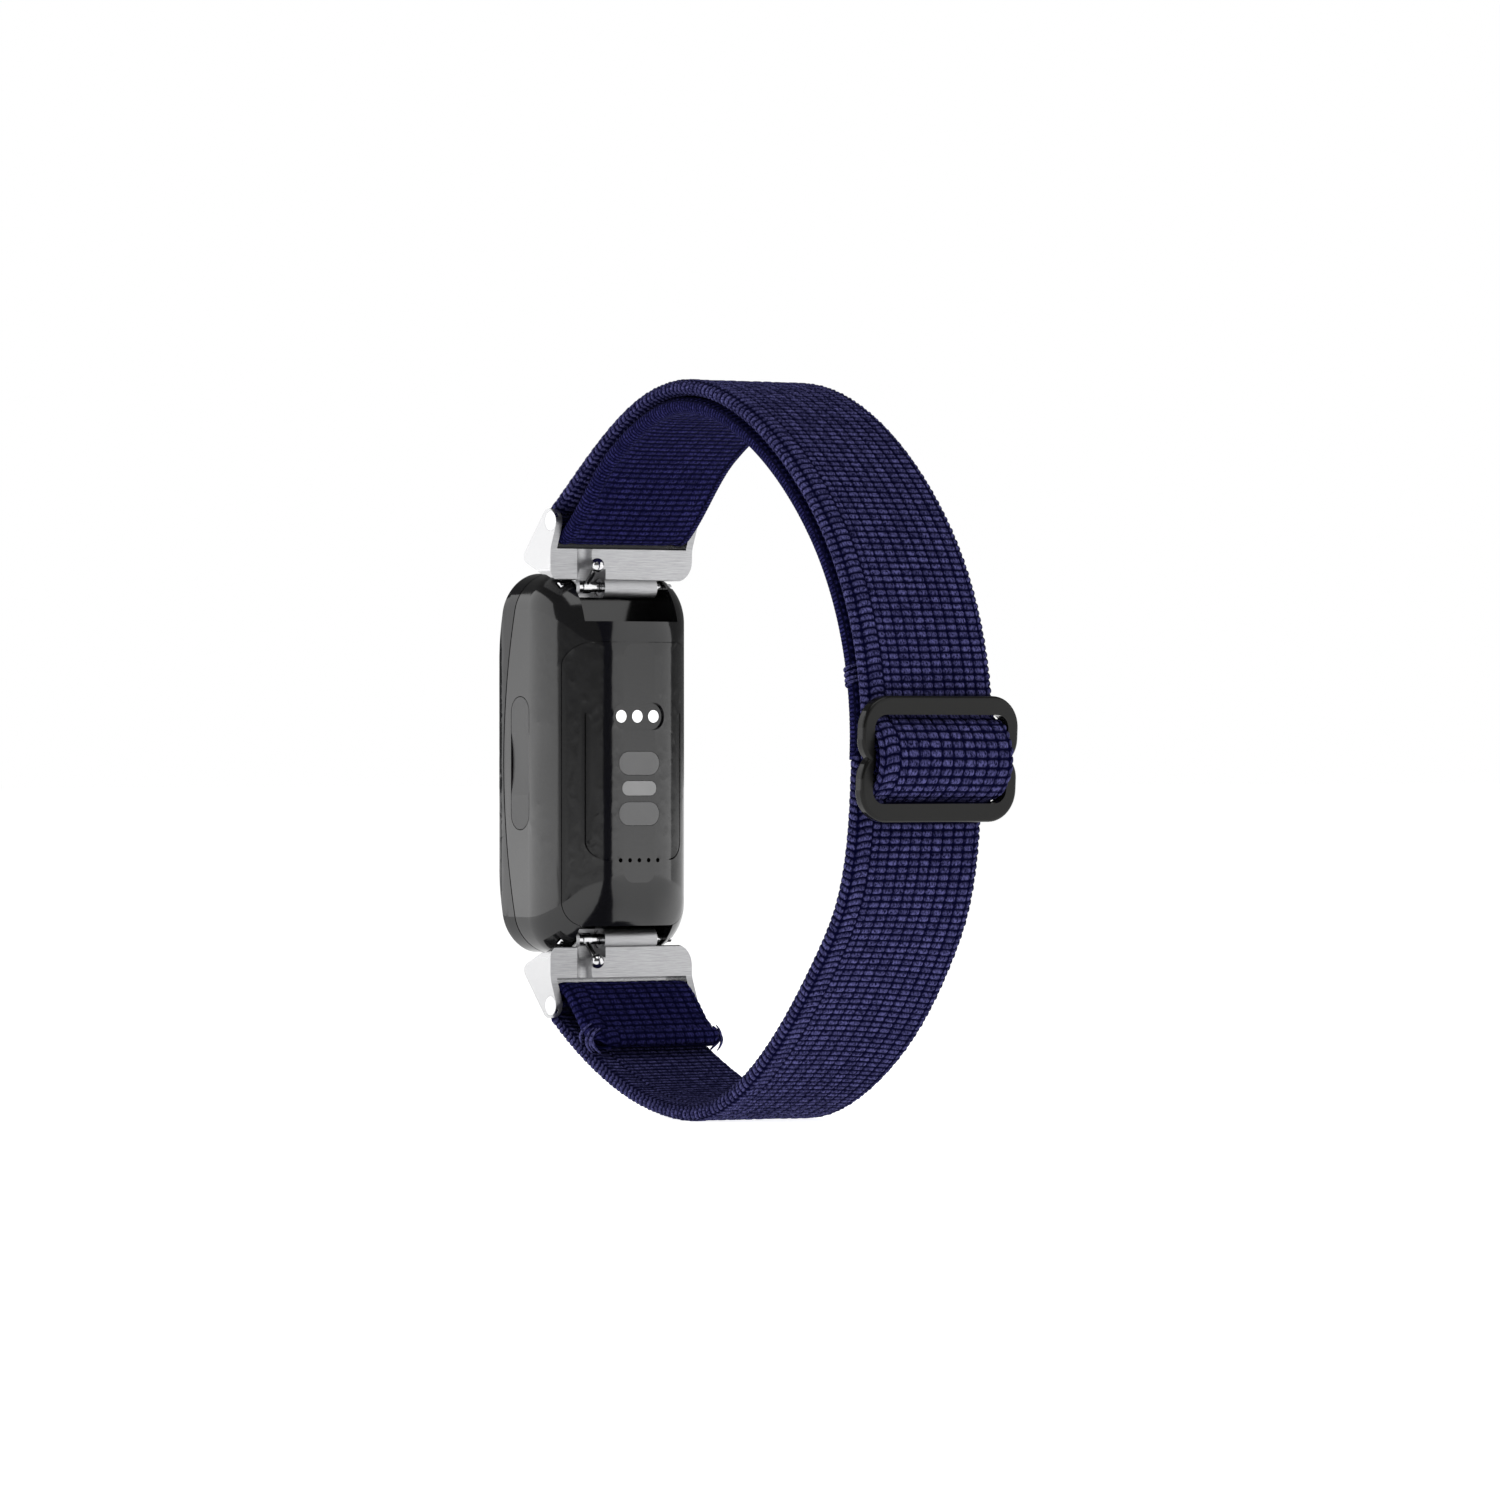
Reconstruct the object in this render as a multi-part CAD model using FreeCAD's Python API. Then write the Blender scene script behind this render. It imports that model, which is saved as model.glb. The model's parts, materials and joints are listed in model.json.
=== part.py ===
import FreeCAD, Part
import math
import os

# Fitness tracker band, in millimetres.
# X runs along the wrist, Y from the tracker's screen towards the slider buckle,
# and Z along the tracker's length.  The origin is the middle of the wrist opening.
# The tracker sits on the -Y side, its screen facing -Y and its sensors facing the wrist.

V = FreeCAD.Vector

# ---------------------------------------------------------------- driving sizes
# Loop of webbing
wrist_depth = 45.2          # tracker's back to the inner layer of the strap opposite it
loop_height = 71.1          # crown to base, over the outer face
side_radius = 33.5          # outer face on the side opposite the tracker, a true arc
side_rise = 1.2             # height of that arc's centre
side_sweep = 38.0           # degrees of that arc above and below its centre
crown_shift = -5.3          # where the crown lies along Y
base_shift = -4.3           # and the base
strap_width = 15.0
strap_thickness = 1.6
layer_gap = 0.15            # air between the two layers of webbing
eye_slope = 37.0            # degrees between the strap and +Y where it leaves a connector
layer_taper = 11.0          # length over which the doubled webbing closes up behind its pin
tail_length = 8.5           # folded end sewn down inside the loop at the lower pin
hem_thickness = 2.3         # the turned-under edge of that folded end
hem_length = 2.6
hem_ramp = 1.2              # length over which the hem thickens
curve_steps = 18            # samples of each free curve of the strap
arc_steps = 24              # and of its side arc

# Tracker
tracker_length = 37.4
tracker_width = 16.9
tracker_depth = 13.4
tracker_drop = 1.3          # the tracker's middle lies this far below the wrist's middle
crown_radius = 60.0         # curve of the screen glass along the tracker
front_radius = 1.8          # long edges beside the screen
back_radius = 6.6           # long edges beside the sensors
end_back_radius = 7.0       # short edges beside the wrist
end_front_radius = 2.9
corner_radius = 3.6         # corners seen from the screen side
case_slices = 8             # slices through the rounded back, and through the rounded front
corner_share = 0.62         # most of a slice's half width that its corners may take
wall = 1.1
glass_rim = 2.0             # height of the glass at its edge
glass_thickness = 1.0
gasket_thickness = 0.15
gasket_side = 0.35          # the gasket is set in from the case's long edges
gasket_end = 0.7            # and from its ends
pocket_side = 0.4           # the display's pocket is smaller than the cavity
pocket_end = 1.2
cover_thickness = 0.85
seal_thickness = 0.15
ledge_thickness = 0.9
ledge_grip = 0.7            # how far the ledge runs under the housing's own wall
ledge_reach = 0.8           # and in under the cover
ledge_drop = 5.5            # the ledge ends this far in front of the back
cover_top = 11.9            # cover's edges, from the tracker's middle
cover_bottom = 16.0
cover_half_width = 7.3
cover_corner = 2.4
seam = 0.05                 # gap around the back cover
seal_set_in = 0.12          # the seal's outer edge, in from the cover's
seal_width = 0.63

# Sensors, contacts and vents in the back cover, heights from the tracker's middle
window_width = 4.8
window_height = 2.35
window_heights = (0.0, -4.95)
led_width = 4.1
led_height = 1.5
led_at = -2.45
contact_radius = 0.62
contact_pitch = 1.9
contacts_at = 4.6
contact_pill_width = 6.0
contact_pill_height = 2.7
contact_pill_depth = 0.35
vent_radius = 0.22
vent_pitch = 1.1
vent_count = 5
vents_at = -9.5
groove_half_width = 5.7
groove_top = 4.9
groove_width = 0.16
groove_depth = 0.2
groove_corner = 1.9
fit_gap = 0.04              # around parts set into the cover

# Side buttons
button_length = 13.0
button_height = 3.1
button_setback = 5.0        # the buttons' middle line, behind the screen
button_gap = 0.08
button_travel = 0.25
button_flange = 0.45        # thickness of the lip that keeps a button in
button_lip = 0.45           # how far that lip stands out round it
dish_depth = 0.22           # hollow of the button's face
dish_radius = 22.0
switch_length = 7.8
switch_height = 2.17
switch_thickness = 0.2
switch_gap = 0.05           # left when the button is pressed home

# Inside the case
display_half = 13.0
display_thickness = 1.1
display_bond = 0.15         # adhesive behind the middle of the glass
board_gap = 0.5             # display to circuit board, bridged by the ribbon
board_thickness = 0.8
board_end_room = 2.6        # board to the case's end wall
board_corner = 2.0
ribbon_half_width = 3.0
ribbon_length = 3.0
ribbon_end = 0.5            # from the display's lower end
chip_thickness = 0.9
chips = ((0.0, 10.2, 5.0, 4.0), (-3.9, 6.0, 2.4, 2.4), (3.6, 6.2, 3.0, 2.0))  # x, z, width, height
insides_gap = 0.1           # between the insides and the pressed switches
sensor_gap = 1.3            # back cover to sensor board
sensor_thickness = 0.6
sensor_half_width = 2.9
sensor_bottom = 7.0         # below the tracker's middle
sensor_top = 6.5
diode_width = 2.8
diode_height = 1.8
diode_thickness = 0.8
lamp_width = 2.6
lamp_height = 1.2
lamp_thickness = 0.7
battery_gap = 0.4
battery_thickness = 3.6
battery_half_width = 5.0
battery_bottom = 7.2
battery_top = 10.6
battery_corner = 0.8
motor_radius = 1.6
motor_set_in = 0.1          # from the battery's back
motor_below = 0.5           # battery's end to motor
motor_far = -4.2
motor_near = 2.6
shaft_radius = 0.4
weight_radius = 1.4
weight_start = 3.1
weight_end = 4.6
weight_cut = 0.4            # the half weight's flat, past its axis

# Connectors between tracker and strap
cheek_thickness = 0.75
cheek_gap = 0.15            # between a cheek and the webbing's edge
hinge_inset = 1.4           # spring bar axis below the tracker's end
hinge_depth = 4.4           # and in from its back
pin_reach = 6.4             # strap pin beyond the spring bar, along the tracker
pin_offset = 1.3            # and towards the wrist
pin_radius = 0.6
pin_head_radius = 0.95
pin_head_depth = 0.35
eye_clearance = 0.1         # webbing round the upper pin
open_eye_clearance = 0.4    # webbing round the lower pin, where the loop of links is opened
eye_outer_radius = 2.3
pocket_clearance = 0.4
tip_radius = 1.25
cheek_front = -3.9          # the cheek's front corner, from the spring bar axis
cheek_front_up = 2.75
cheek_front_radius = 0.7
cheek_bottom = 0.55         # the plate's lower edge above that axis
cheek_bottom_radius = 0.2
underside_radius = 1.2      # clears the tracker's rounded end as the connector swings
underside_front = -1.1      # where that hollow meets the cheek's sloping edge
underside_gap = 0.35
plate_height = 3.7          # flat height of the plate before it swells out to the tip
plate_swell = 2.5
tip_lift = 0.3              # corners that the round tip is drawn between, from the pin
tip_back = 0.55
tip_top = 1.6
tip_corner = 1.125
plate_corner = 1.1          # lower corners of the plate, seen from the wrist
plate_far_corner = 2.1      # the plate's corner on the far side, away from the knob
relief_at = 4.4             # shallow scoop in the plate beside the lever
relief_width = 1.7
relief_depth = 0.22
barrel_radius = 1.25
web_half = 0.9              # half thickness of the web between barrel and plate
tongue_near = 5.3           # ends of the tongue along X
tongue_far = -4.3
recess_half_width = 5.5
recess_below = 3.4          # recess past the spring bar axis
recess_front = 1.6
recess_wall = 1.0
notch_near = 4.9
notch_far = 1.9
notch_front = 0.75          # the notch starts this far in front of the axis
notch_top = 1.75

# Quick-release spring bars
bar_radius = 0.85
rod_radius = 0.5
bar_tip_radius = 0.4
running = 0.05
bar_tip_end = 6.6           # how far each tip stands into the tracker
bar_hole_extra = 0.15       # the tip's hole is this much deeper
bar_ground = 0.5            # solid ground beyond the tip
bar_end_gap = 0.1           # the tube is this much shorter than its bore at each end
shoulder_length = 0.5
shoulder_step = 0.2
collar_half = 0.45
collar_step = 0.15
rod_start = 0.2
spring_start = -2.9
spring_wire = 0.11
spring_turns = 7
spring_clearance = 0.02
lever_at = 3.5
lever_radius = 0.28
knob_radius = 0.715
knob_out = 2.2
knob_up = 2.1

# Slider buckle
slider_height = 11.8
slider_side_bar = 1.25
slider_thickness = 1.3
slider_bar = 1.75
slider_corner = 3.0
waist_corner = 2.6          # the outline's two lobes meet in a notch at each side
waist_overlap = 0.75        # and run past the middle by this
slider_edge = 0.35
slider_angle = -3.4         # degrees round the side arc
slider_clearance = 0.12
slot_gap = 0.2              # between the webbing's edges and the slider's side bars
centre_bar_height = 1.6
centre_bar_thickness = 0.8
loop_thickness = 0.6
loop_gap = 0.05             # between the sewn loop and the centre bar's edges
loop_lift = 0.03            # and its face
loop_press = 0.85           # the loop is pressed this much thinner over the bar
webbing_squeeze = 0.2       # the webbing narrows by this at each edge inside the slider
slot_corner = 0.35          # beside the centre bar
slot_round = 1.3            # at the slider's ends
hump_set_in = 0.15          # between the hump's feet and the end bars
hump_thickness = 0.95
hump_rise = 2.85            # top of the webbing over the slider, above the strap's outer face

# ---------------------------------------------------------------- derived places
back_y = -wrist_depth / 2
front_y = back_y - tracker_depth
mid_z = -tracker_drop
half_length = tracker_length / 2
half_width = tracker_width / 2
half_strap = strap_width / 2
side_y = wrist_depth / 2 + 2 * strap_thickness + layer_gap
arc_y = side_y - side_radius
arc_z = side_rise
hinge_y = back_y - hinge_depth
hinge_z = half_length - hinge_inset     # from the tracker's middle
pin_y = hinge_y + pin_offset
pin_z = hinge_z + pin_reach
cavity_half_width = half_width - wall
button_inner = cavity_half_width - button_flange
button_at = front_y + button_setback
connector_width = strap_width + 2 * (cheek_thickness + cheek_gap)
slot_width = strap_width + 2 * slot_gap
slider_width = slot_width + 2 * slider_side_bar

parts = {}


# ---------------------------------------------------------------- shape helpers
def yz(y, z, x=0.0):
    """A point in the plane across the wrist."""
    return V(x, y, z)


def xz(x, z, y=0.0):
    """A point in the plane facing the screen."""
    return V(x, y, z)


def rounded_face(corners, place):
    """Face with straight sides and arc corners; each corner is (a, b, radius)."""
    count = len(corners)
    arcs = []
    for i in range(count):
        a, b, radius = corners[i]
        here = V(a, b, 0)
        before = V(corners[i - 1][0], corners[i - 1][1], 0) - here
        after = V(corners[(i + 1) % count][0], corners[(i + 1) % count][1], 0) - here
        before.normalize()
        after.normalize()
        if radius <= 0:
            arcs.append((here, None, here))
            continue
        half = before.getAngle(after) / 2
        reach = radius / math.tan(half)
        inward = before + after
        inward.normalize()
        middle = here + inward * (radius / math.sin(half) - radius)
        arcs.append((here + before * reach, middle, here + after * reach))
    edges = []
    for i in range(count):
        start, middle, end = arcs[i]
        if middle is not None:
            edges.append(Part.Arc(place(start.x, start.y), place(middle.x, middle.y),
                                  place(end.x, end.y)).toShape())
        following = arcs[(i + 1) % count][0]
        if (following - end).Length > 1e-6:
            edges.append(Part.makeLine(place(end.x, end.y), place(following.x, following.y)))
    return Part.Face(Part.Wire(edges))


def rectangle(low_a, low_b, high_a, high_b, radii, place):
    """Rounded rectangle; radii run round from the low corner, first along a."""
    corners = [(low_a, low_b, radii[0]), (high_a, low_b, radii[1]),
               (high_a, high_b, radii[2]), (low_a, high_b, radii[3])]
    return rounded_face(corners, place)


def along_x(face, low, high):
    """Solid from a face in the x = 0 plane, between two places along X."""
    moved = face.copy()
    moved.translate(V(low, 0, 0))
    return moved.extrude(V(high - low, 0, 0))


def x_cylinder(radius, y, z, low, high):
    return Part.makeCylinder(radius, high - low, V(low, y, z), V(1, 0, 0))


def box(low, high):
    return Part.makeBox(high[0] - low[0], high[1] - low[1], high[2] - low[2], V(*low))


def less(radius, inset):
    """An edge radius followed inwards by a wall."""
    return max(radius - inset, 0.3)


def mirrored(shape):
    """The same piece at the tracker's other end."""
    return shape.mirror(V(0, 0, mid_z), V(0, 0, 1))


def keep(name, shape):
    parts[name] = shape


# ---------------------------------------------------------------- tracker shell
def crown(depth):
    """Everything behind the curved screen surface, set in by depth."""
    radius = crown_radius - depth
    return x_cylinder(radius, front_y + crown_radius, mid_z, -tracker_width, tracker_width)


def drawn_in(radius, depth):
    """How far a rounded edge has drawn in, at a depth below its face."""
    rest = max(radius - depth, 0.0)
    return radius - math.sqrt(radius * radius - rest * rest)


def rounded_end(inset, side_edge, end_edge, face_y, way):
    """Smooth loft from a flat face to the case's full outline, through rounded slices."""
    deep = max(side_edge, end_edge)
    wires = []
    for i in range(case_slices + 1):
        depth = deep * (1 - math.cos(math.pi / 2 * i / case_slices))
        w = half_width - inset - drawn_in(side_edge, depth)
        h = half_length - inset - drawn_in(end_edge, depth)
        corner = min(less(corner_radius, inset), corner_share * w)
        face = rectangle(-w, mid_z - h, w, mid_z + h, (corner,) * 4,
                         lambda a, b: xz(a, b, face_y + way * depth))
        wires.append(face.OuterWire)
    return Part.makeLoft(wires, True, False)


def pebble(inset):
    """The tracker's outer form set in by a wall, open at the screen side."""
    high_y = back_y - inset
    back_side = less(back_radius, inset)
    back_end = less(end_back_radius, inset)
    front_side = less(front_radius, inset)
    front_end = less(end_front_radius, inset)
    back = rounded_end(inset, back_side, back_end, high_y, -1)
    front = rounded_end(inset, front_side, front_end, front_y, 1)
    low_y = front_y + max(front_side, front_end)
    w = half_width - inset
    h = half_length - inset
    middle = rectangle(-w, mid_z - h, w, mid_z + h, (less(corner_radius, inset),) * 4,
                       lambda a, b: xz(a, b, low_y))
    middle = middle.extrude(V(0, high_y - max(back_side, back_end) - low_y, 0))
    return back.fuse(middle).fuse(front)


def cover_prism(grow):
    """Outline of the back cover, carried through the tracker's back half."""
    face = rectangle(-cover_half_width - grow, mid_z - cover_bottom - grow,
                     cover_half_width + grow, mid_z + cover_top + grow,
                     (cover_corner + grow,) * 4,
                     lambda a, b: xz(a, b, back_y - tracker_depth / 2))
    return face.extrude(V(0, tracker_depth, 0))


def stadium(width, height, z, low_y, high_y, grow=0.0):
    """Round-ended bar seen from the wrist, between two depths."""
    w = width / 2 + grow
    h = height / 2 + grow
    radius = min(w, h) * 0.98
    face = rectangle(-w, z - h, w, z + h, (radius,) * 4, lambda a, b: xz(a, b, low_y))
    return face.extrude(V(0, high_y - low_y, 0))


def button_prism(length, height, low_x, high_x):
    """Round-ended bar seen from the side, between two places along X."""
    h = height / 2
    radius = h * 0.98
    face = rectangle(button_at - h, mid_z - length / 2, button_at + h, mid_z + length / 2,
                     (radius,) * 4, yz)
    return along_x(face, low_x, high_x)


def end_recess():
    """Pocket in the upper end of the back for the connector's tongue."""
    return box((-recess_half_width, hinge_y - recess_front, mid_z + hinge_z - recess_below),
               (recess_half_width, back_y + 1, mid_z + half_length + 1))


def recess_block():
    """Solid ground left around that pocket."""
    side = bar_tip_end + bar_ground
    return box((-side, hinge_y - recess_front - recess_wall,
                mid_z + hinge_z - recess_below - recess_wall),
               (side, back_y + 1, mid_z + half_length + 1))


def vent_centres():
    start = -(vent_count - 1) / 2 * vent_pitch
    return [start + i * vent_pitch for i in range(vent_count)]


def groove():
    """Shallow U-shaped line round the sensor area, open at the top and at the vents."""
    low_z = mid_z + vents_at
    high_z = mid_z + groove_top
    outer = rectangle(-groove_half_width, low_z, groove_half_width, high_z + tracker_depth,
                      (groove_corner, groove_corner, 0, 0),
                      lambda a, b: xz(a, b, back_y - tracker_depth / 2))
    g = groove_width
    inner = rectangle(-groove_half_width + g, low_z + g, groove_half_width - g,
                      high_z + tracker_depth,
                      (groove_corner - g, groove_corner - g, 0, 0),
                      lambda a, b: xz(a, b, back_y - tracker_depth / 2))
    ring = outer.extrude(V(0, tracker_depth, 0)).cut(inner.extrude(V(0, tracker_depth, 0)))
    above = box((-tracker_width, front_y, high_z),
                (tracker_width, back_y + 1, high_z + 2 * tracker_depth))
    gap = vent_pitch * (vent_count + 1) / 2
    middle = box((-gap, front_y, low_z - 1), (gap, back_y + 1, low_z + 1))
    return ring.cut(above).cut(middle)


def build_tracker():
    outer = pebble(0)
    glass = outer.common(crown(0)).cut(crown(glass_rim))
    pocket_w = cavity_half_width - pocket_side
    pocket_h = half_length - wall - pocket_end
    display_pocket = box((-pocket_w, front_y - 1, mid_z - pocket_h),
                         (pocket_w, back_y, mid_z + pocket_h))
    keep("front_glass", glass.cut(display_pocket.common(crown(glass_thickness))))

    ring = outer.common(crown(glass_rim)).cut(crown(glass_rim + gasket_thickness))
    ring_outer = rectangle(-half_width + gasket_side, mid_z - half_length + gasket_end,
                           half_width - gasket_side, mid_z + half_length - gasket_end,
                           (corner_radius - gasket_side,) * 4,
                           lambda a, b: xz(a, b, front_y - 1))
    ring_outer = ring_outer.extrude(V(0, tracker_depth, 0))
    keep("glass_gasket", ring.common(ring_outer).cut(display_pocket))

    ledge_depth = cover_thickness + seal_thickness
    cavity = pebble(wall).cut(recess_block()).cut(mirrored(recess_block()))
    housing = outer.common(crown(glass_rim + gasket_thickness)).cut(cavity)
    ledge = pebble(ledge_depth).cut(pebble(ledge_depth + ledge_thickness))
    ledge = ledge.common(cover_prism(ledge_grip)).cut(cover_prism(-ledge_reach))
    back_half = box((-tracker_width, back_y - ledge_drop, -tracker_length),
                    (tracker_width, back_y + 1, tracker_length))
    housing = housing.cut(cover_prism(-ledge_reach).common(back_half))
    housing = housing.fuse(ledge.common(back_half))
    cover_shell = outer.cut(pebble(ledge_depth)).common(back_half)
    housing = housing.cut(cover_shell.common(cover_prism(0)))
    recesses = end_recess().fuse(mirrored(end_recess()))
    for sign in (1, -1):
        ends = (sign * recess_half_width, sign * (bar_tip_end + bar_hole_extra))
        low = min(ends)
        high = max(ends)
        hole = x_cylinder(bar_tip_radius + running, hinge_y, mid_z + hinge_z, low, high)
        recesses = recesses.fuse(hole).fuse(mirrored(hole))
    housing = housing.cut(recesses)
    slot_length = button_length + 2 * button_gap
    slot_height = button_height + 2 * button_gap
    housing = housing.cut(button_prism(slot_length, slot_height, cavity_half_width - 1,
                                       half_width + 1))
    housing = housing.cut(button_prism(slot_length, slot_height, -half_width - 1,
                                       1 - cavity_half_width))
    keep("main_housing", housing)

    cover = outer.cut(pebble(cover_thickness)).common(back_half).common(cover_prism(-seam))
    inner_y = back_y - tracker_depth / 2
    outer_y = back_y + 1
    for z in window_heights:
        cover = cover.cut(stadium(window_width, window_height, mid_z + z, inner_y, outer_y))
    cover = cover.cut(stadium(led_width, led_height, mid_z + led_at, inner_y, outer_y))
    cover = cover.cut(stadium(contact_pill_width, contact_pill_height, mid_z + contacts_at,
                              back_y - contact_pill_depth, outer_y))
    for i in (-1, 0, 1):
        cover = cover.cut(Part.makeCylinder(contact_radius + fit_gap, tracker_depth,
                                            V(i * contact_pitch, inner_y, mid_z + contacts_at),
                                            V(0, 1, 0)))
    for x in vent_centres():
        cover = cover.cut(Part.makeCylinder(vent_radius, tracker_depth,
                                            V(x, inner_y, mid_z + vents_at), V(0, 1, 0)))
    cover = cover.cut(groove().common(outer.cut(pebble(groove_depth))))
    keep("back_cover", cover)

    seal = pebble(cover_thickness).cut(pebble(ledge_depth)).common(back_half)
    seal = seal.common(cover_prism(-seal_set_in)).cut(cover_prism(-seal_set_in - seal_width))
    keep("back_seal", seal)

    lenses = []
    for z in window_heights:
        lens = stadium(window_width, window_height, mid_z + z, inner_y, outer_y, -fit_gap)
        lenses.append(lens.common(outer).cut(pebble(cover_thickness)).common(back_half))
    keep("photodiode_windows", Part.makeCompound(lenses))
    lens = stadium(led_width, led_height, mid_z + led_at, inner_y, outer_y, -fit_gap)
    keep("led_window", lens.common(outer).cut(pebble(cover_thickness)).common(back_half))


def build_buttons():
    switches = []
    for sign, side in ((1, "near"), (-1, "far")):
        cap = button_prism(button_length, button_height, button_inner, half_width)
        flange = button_prism(button_length + 2 * button_lip, button_height + 2 * button_lip,
                              button_inner, cavity_half_width - button_gap)
        button = cap.fuse(flange).removeSplitter()
        dish = Part.makeCylinder(dish_radius, button_height * 2,
                                 V(half_width + dish_radius - dish_depth,
                                   button_at - button_height, mid_z), V(0, 1, 0))
        button = button.cut(dish)
        switch_high = button_inner - button_travel - switch_gap
        switch = button_prism(switch_length, switch_height, switch_high - switch_thickness,
                              switch_high)
        if sign < 0:
            button = button.mirror(V(0, 0, 0), V(1, 0, 0))
            switch = switch.mirror(V(0, 0, 0), V(1, 0, 0))
        keep("side_button_" + side, button)
        switches.append(switch)
    keep("button_switches", Part.makeCompound(switches))


def block(half_width_, low_z, high_z, low_y, high_y):
    """Box centred across the tracker, its heights taken from the tracker's middle."""
    return box((-half_width_, low_y, mid_z + low_z), (half_width_, high_y, mid_z + high_z))


def build_insides():
    inner_half = button_inner - button_travel - switch_gap - switch_thickness - insides_gap
    sag = display_half ** 2 / (2 * (crown_radius - glass_thickness))
    display_y = front_y + glass_thickness + sag + display_bond
    display_back = display_y + display_thickness
    keep("display_panel", block(inner_half, -display_half, display_half, display_y, display_back))
    board_y = display_back + board_gap
    board_half = half_length - wall - board_end_room
    board = rectangle(-inner_half, mid_z - board_half, inner_half, mid_z + board_half,
                      (board_corner,) * 4, lambda a, b: xz(a, b, board_y))
    keep("circuit_board", board.extrude(V(0, board_thickness, 0)))
    ribbon_low = ribbon_end - display_half
    keep("display_flex", block(ribbon_half_width, ribbon_low, ribbon_low + ribbon_length,
                               display_back, board_y))
    chip_y = board_y + board_thickness
    placed = []
    for x, z, w, h in chips:
        placed.append(box((x - w / 2, chip_y, mid_z + z - h / 2),
                          (x + w / 2, chip_y + chip_thickness, mid_z + z + h / 2)))
    keep("board_chips", Part.makeCompound(placed))

    sensor_y = back_y - cover_thickness - sensor_gap
    sensor_front = sensor_y - sensor_thickness
    keep("sensor_board", block(sensor_half_width, -sensor_bottom, sensor_top, sensor_front,
                               sensor_y))
    diodes = []
    for z in window_heights:
        diodes.append(block(diode_width / 2, z - diode_height / 2, z + diode_height / 2,
                            sensor_y, sensor_y + diode_thickness))
    keep("photodiodes", Part.makeCompound(diodes))
    keep("led_package", block(lamp_width / 2, led_at - lamp_height / 2, led_at + lamp_height / 2,
                              sensor_y, sensor_y + lamp_thickness))
    contacts = []
    for i in (-1, 0, 1):
        contacts.append(Part.makeCylinder(contact_radius, back_y - contact_pill_depth - sensor_y,
                                          V(i * contact_pitch, sensor_y, mid_z + contacts_at),
                                          V(0, 1, 0)))
    keep("charge_contacts", Part.makeCompound(contacts))

    battery_back = sensor_front - battery_gap
    battery = rectangle(-battery_half_width, mid_z - battery_bottom, battery_half_width,
                        mid_z + battery_top, (battery_corner,) * 4,
                        lambda a, b: xz(a, b, battery_back - battery_thickness))
    keep("battery_cell", battery.extrude(V(0, battery_thickness, 0)))
    motor_y = battery_back - motor_radius - motor_set_in
    motor_z = mid_z - battery_bottom - motor_below - motor_radius
    motor = x_cylinder(motor_radius, motor_y, motor_z, motor_far, motor_near)
    shaft = x_cylinder(shaft_radius, motor_y, motor_z, motor_near, weight_end)
    weight = x_cylinder(weight_radius, motor_y, motor_z, weight_start, weight_end)
    cut_away = box((weight_start, motor_y - weight_radius, motor_z - weight_radius),
                   (weight_end, motor_y + weight_radius, motor_z + weight_cut))
    keep("vibration_motor", motor.fuse(shaft).fuse(weight.cut(cut_away)).removeSplitter())


# ---------------------------------------------------------------- connectors
def connector_profile():
    """Side view of a cheek, from the spring bar axis: blunt wedge with a round tip."""
    corners = [
        (cheek_front, cheek_front_up, cheek_front_radius),
        (underside_front, underside_radius + underside_gap, -underside_front),
        (pin_offset, cheek_bottom, cheek_bottom_radius),
        (pin_offset, plate_height, plate_swell),
        (pin_offset + tip_radius, pin_reach + tip_lift, tip_corner),
        (pin_offset - tip_back, pin_reach + tip_top, tip_corner),
    ]
    return rounded_face(corners, lambda a, b: yz(hinge_y + a, mid_z + hinge_z + b))


def build_connector():
    """Upper connector with its tongue, the lower one being its mirror image."""
    z = mid_z + hinge_z
    half = connector_width / 2
    body = along_x(connector_profile(), -half, half)
    pocket_radius = eye_outer_radius + pocket_clearance
    pocket = half - cheek_thickness
    body = body.cut(x_cylinder(pocket_radius, pin_y, mid_z + pin_z, -pocket, pocket))
    body = body.cut(x_cylinder(underside_radius, hinge_y, z, -half, half))
    outline = rectangle(-half, z + cheek_bottom, half, z + 2 * pin_reach,
                        (plate_far_corner, plate_corner, 0, 0),
                        lambda a, b: xz(a, b, hinge_y - pin_reach))
    body = body.common(outline.extrude(V(0, 2 * pin_reach, 0)))
    scoop_half = relief_width / 2
    scoop_radius = (scoop_half ** 2 + relief_depth ** 2) / (2 * relief_depth)
    scoop_y = hinge_y + pin_offset + scoop_radius - relief_depth
    body = body.cut(Part.makeCylinder(scoop_radius, pin_reach, V(relief_at, scoop_y, z),
                                      V(0, 0, 1)))
    barrel = x_cylinder(barrel_radius, hinge_y, z, tongue_far, tongue_near)
    web = box((tongue_far, hinge_y - web_half, z),
              (tongue_near, hinge_y + web_half, z + underside_radius + cheek_bottom))
    body = body.fuse(barrel).fuse(web)
    body = body.cut(box((notch_far, hinge_y - notch_front, z - 2 * barrel_radius),
                        (notch_near, hinge_y + 2 * barrel_radius, z + notch_top)))
    body = body.cut(x_cylinder(bar_radius + fit_gap / 2, hinge_y, z, tongue_far - 1, notch_far))
    body = body.cut(x_cylinder(rod_radius + running, hinge_y, z, notch_far, tongue_near + 1))
    body = body.cut(x_cylinder(pin_radius + fit_gap / 2, pin_y, mid_z + pin_z, -half, half))
    for low, high in ((-half, -half + pin_head_depth), (half - pin_head_depth, half)):
        body = body.cut(x_cylinder(pin_head_radius + fit_gap / 2, pin_y, mid_z + pin_z, low, high))
    return body.removeSplitter()


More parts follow.
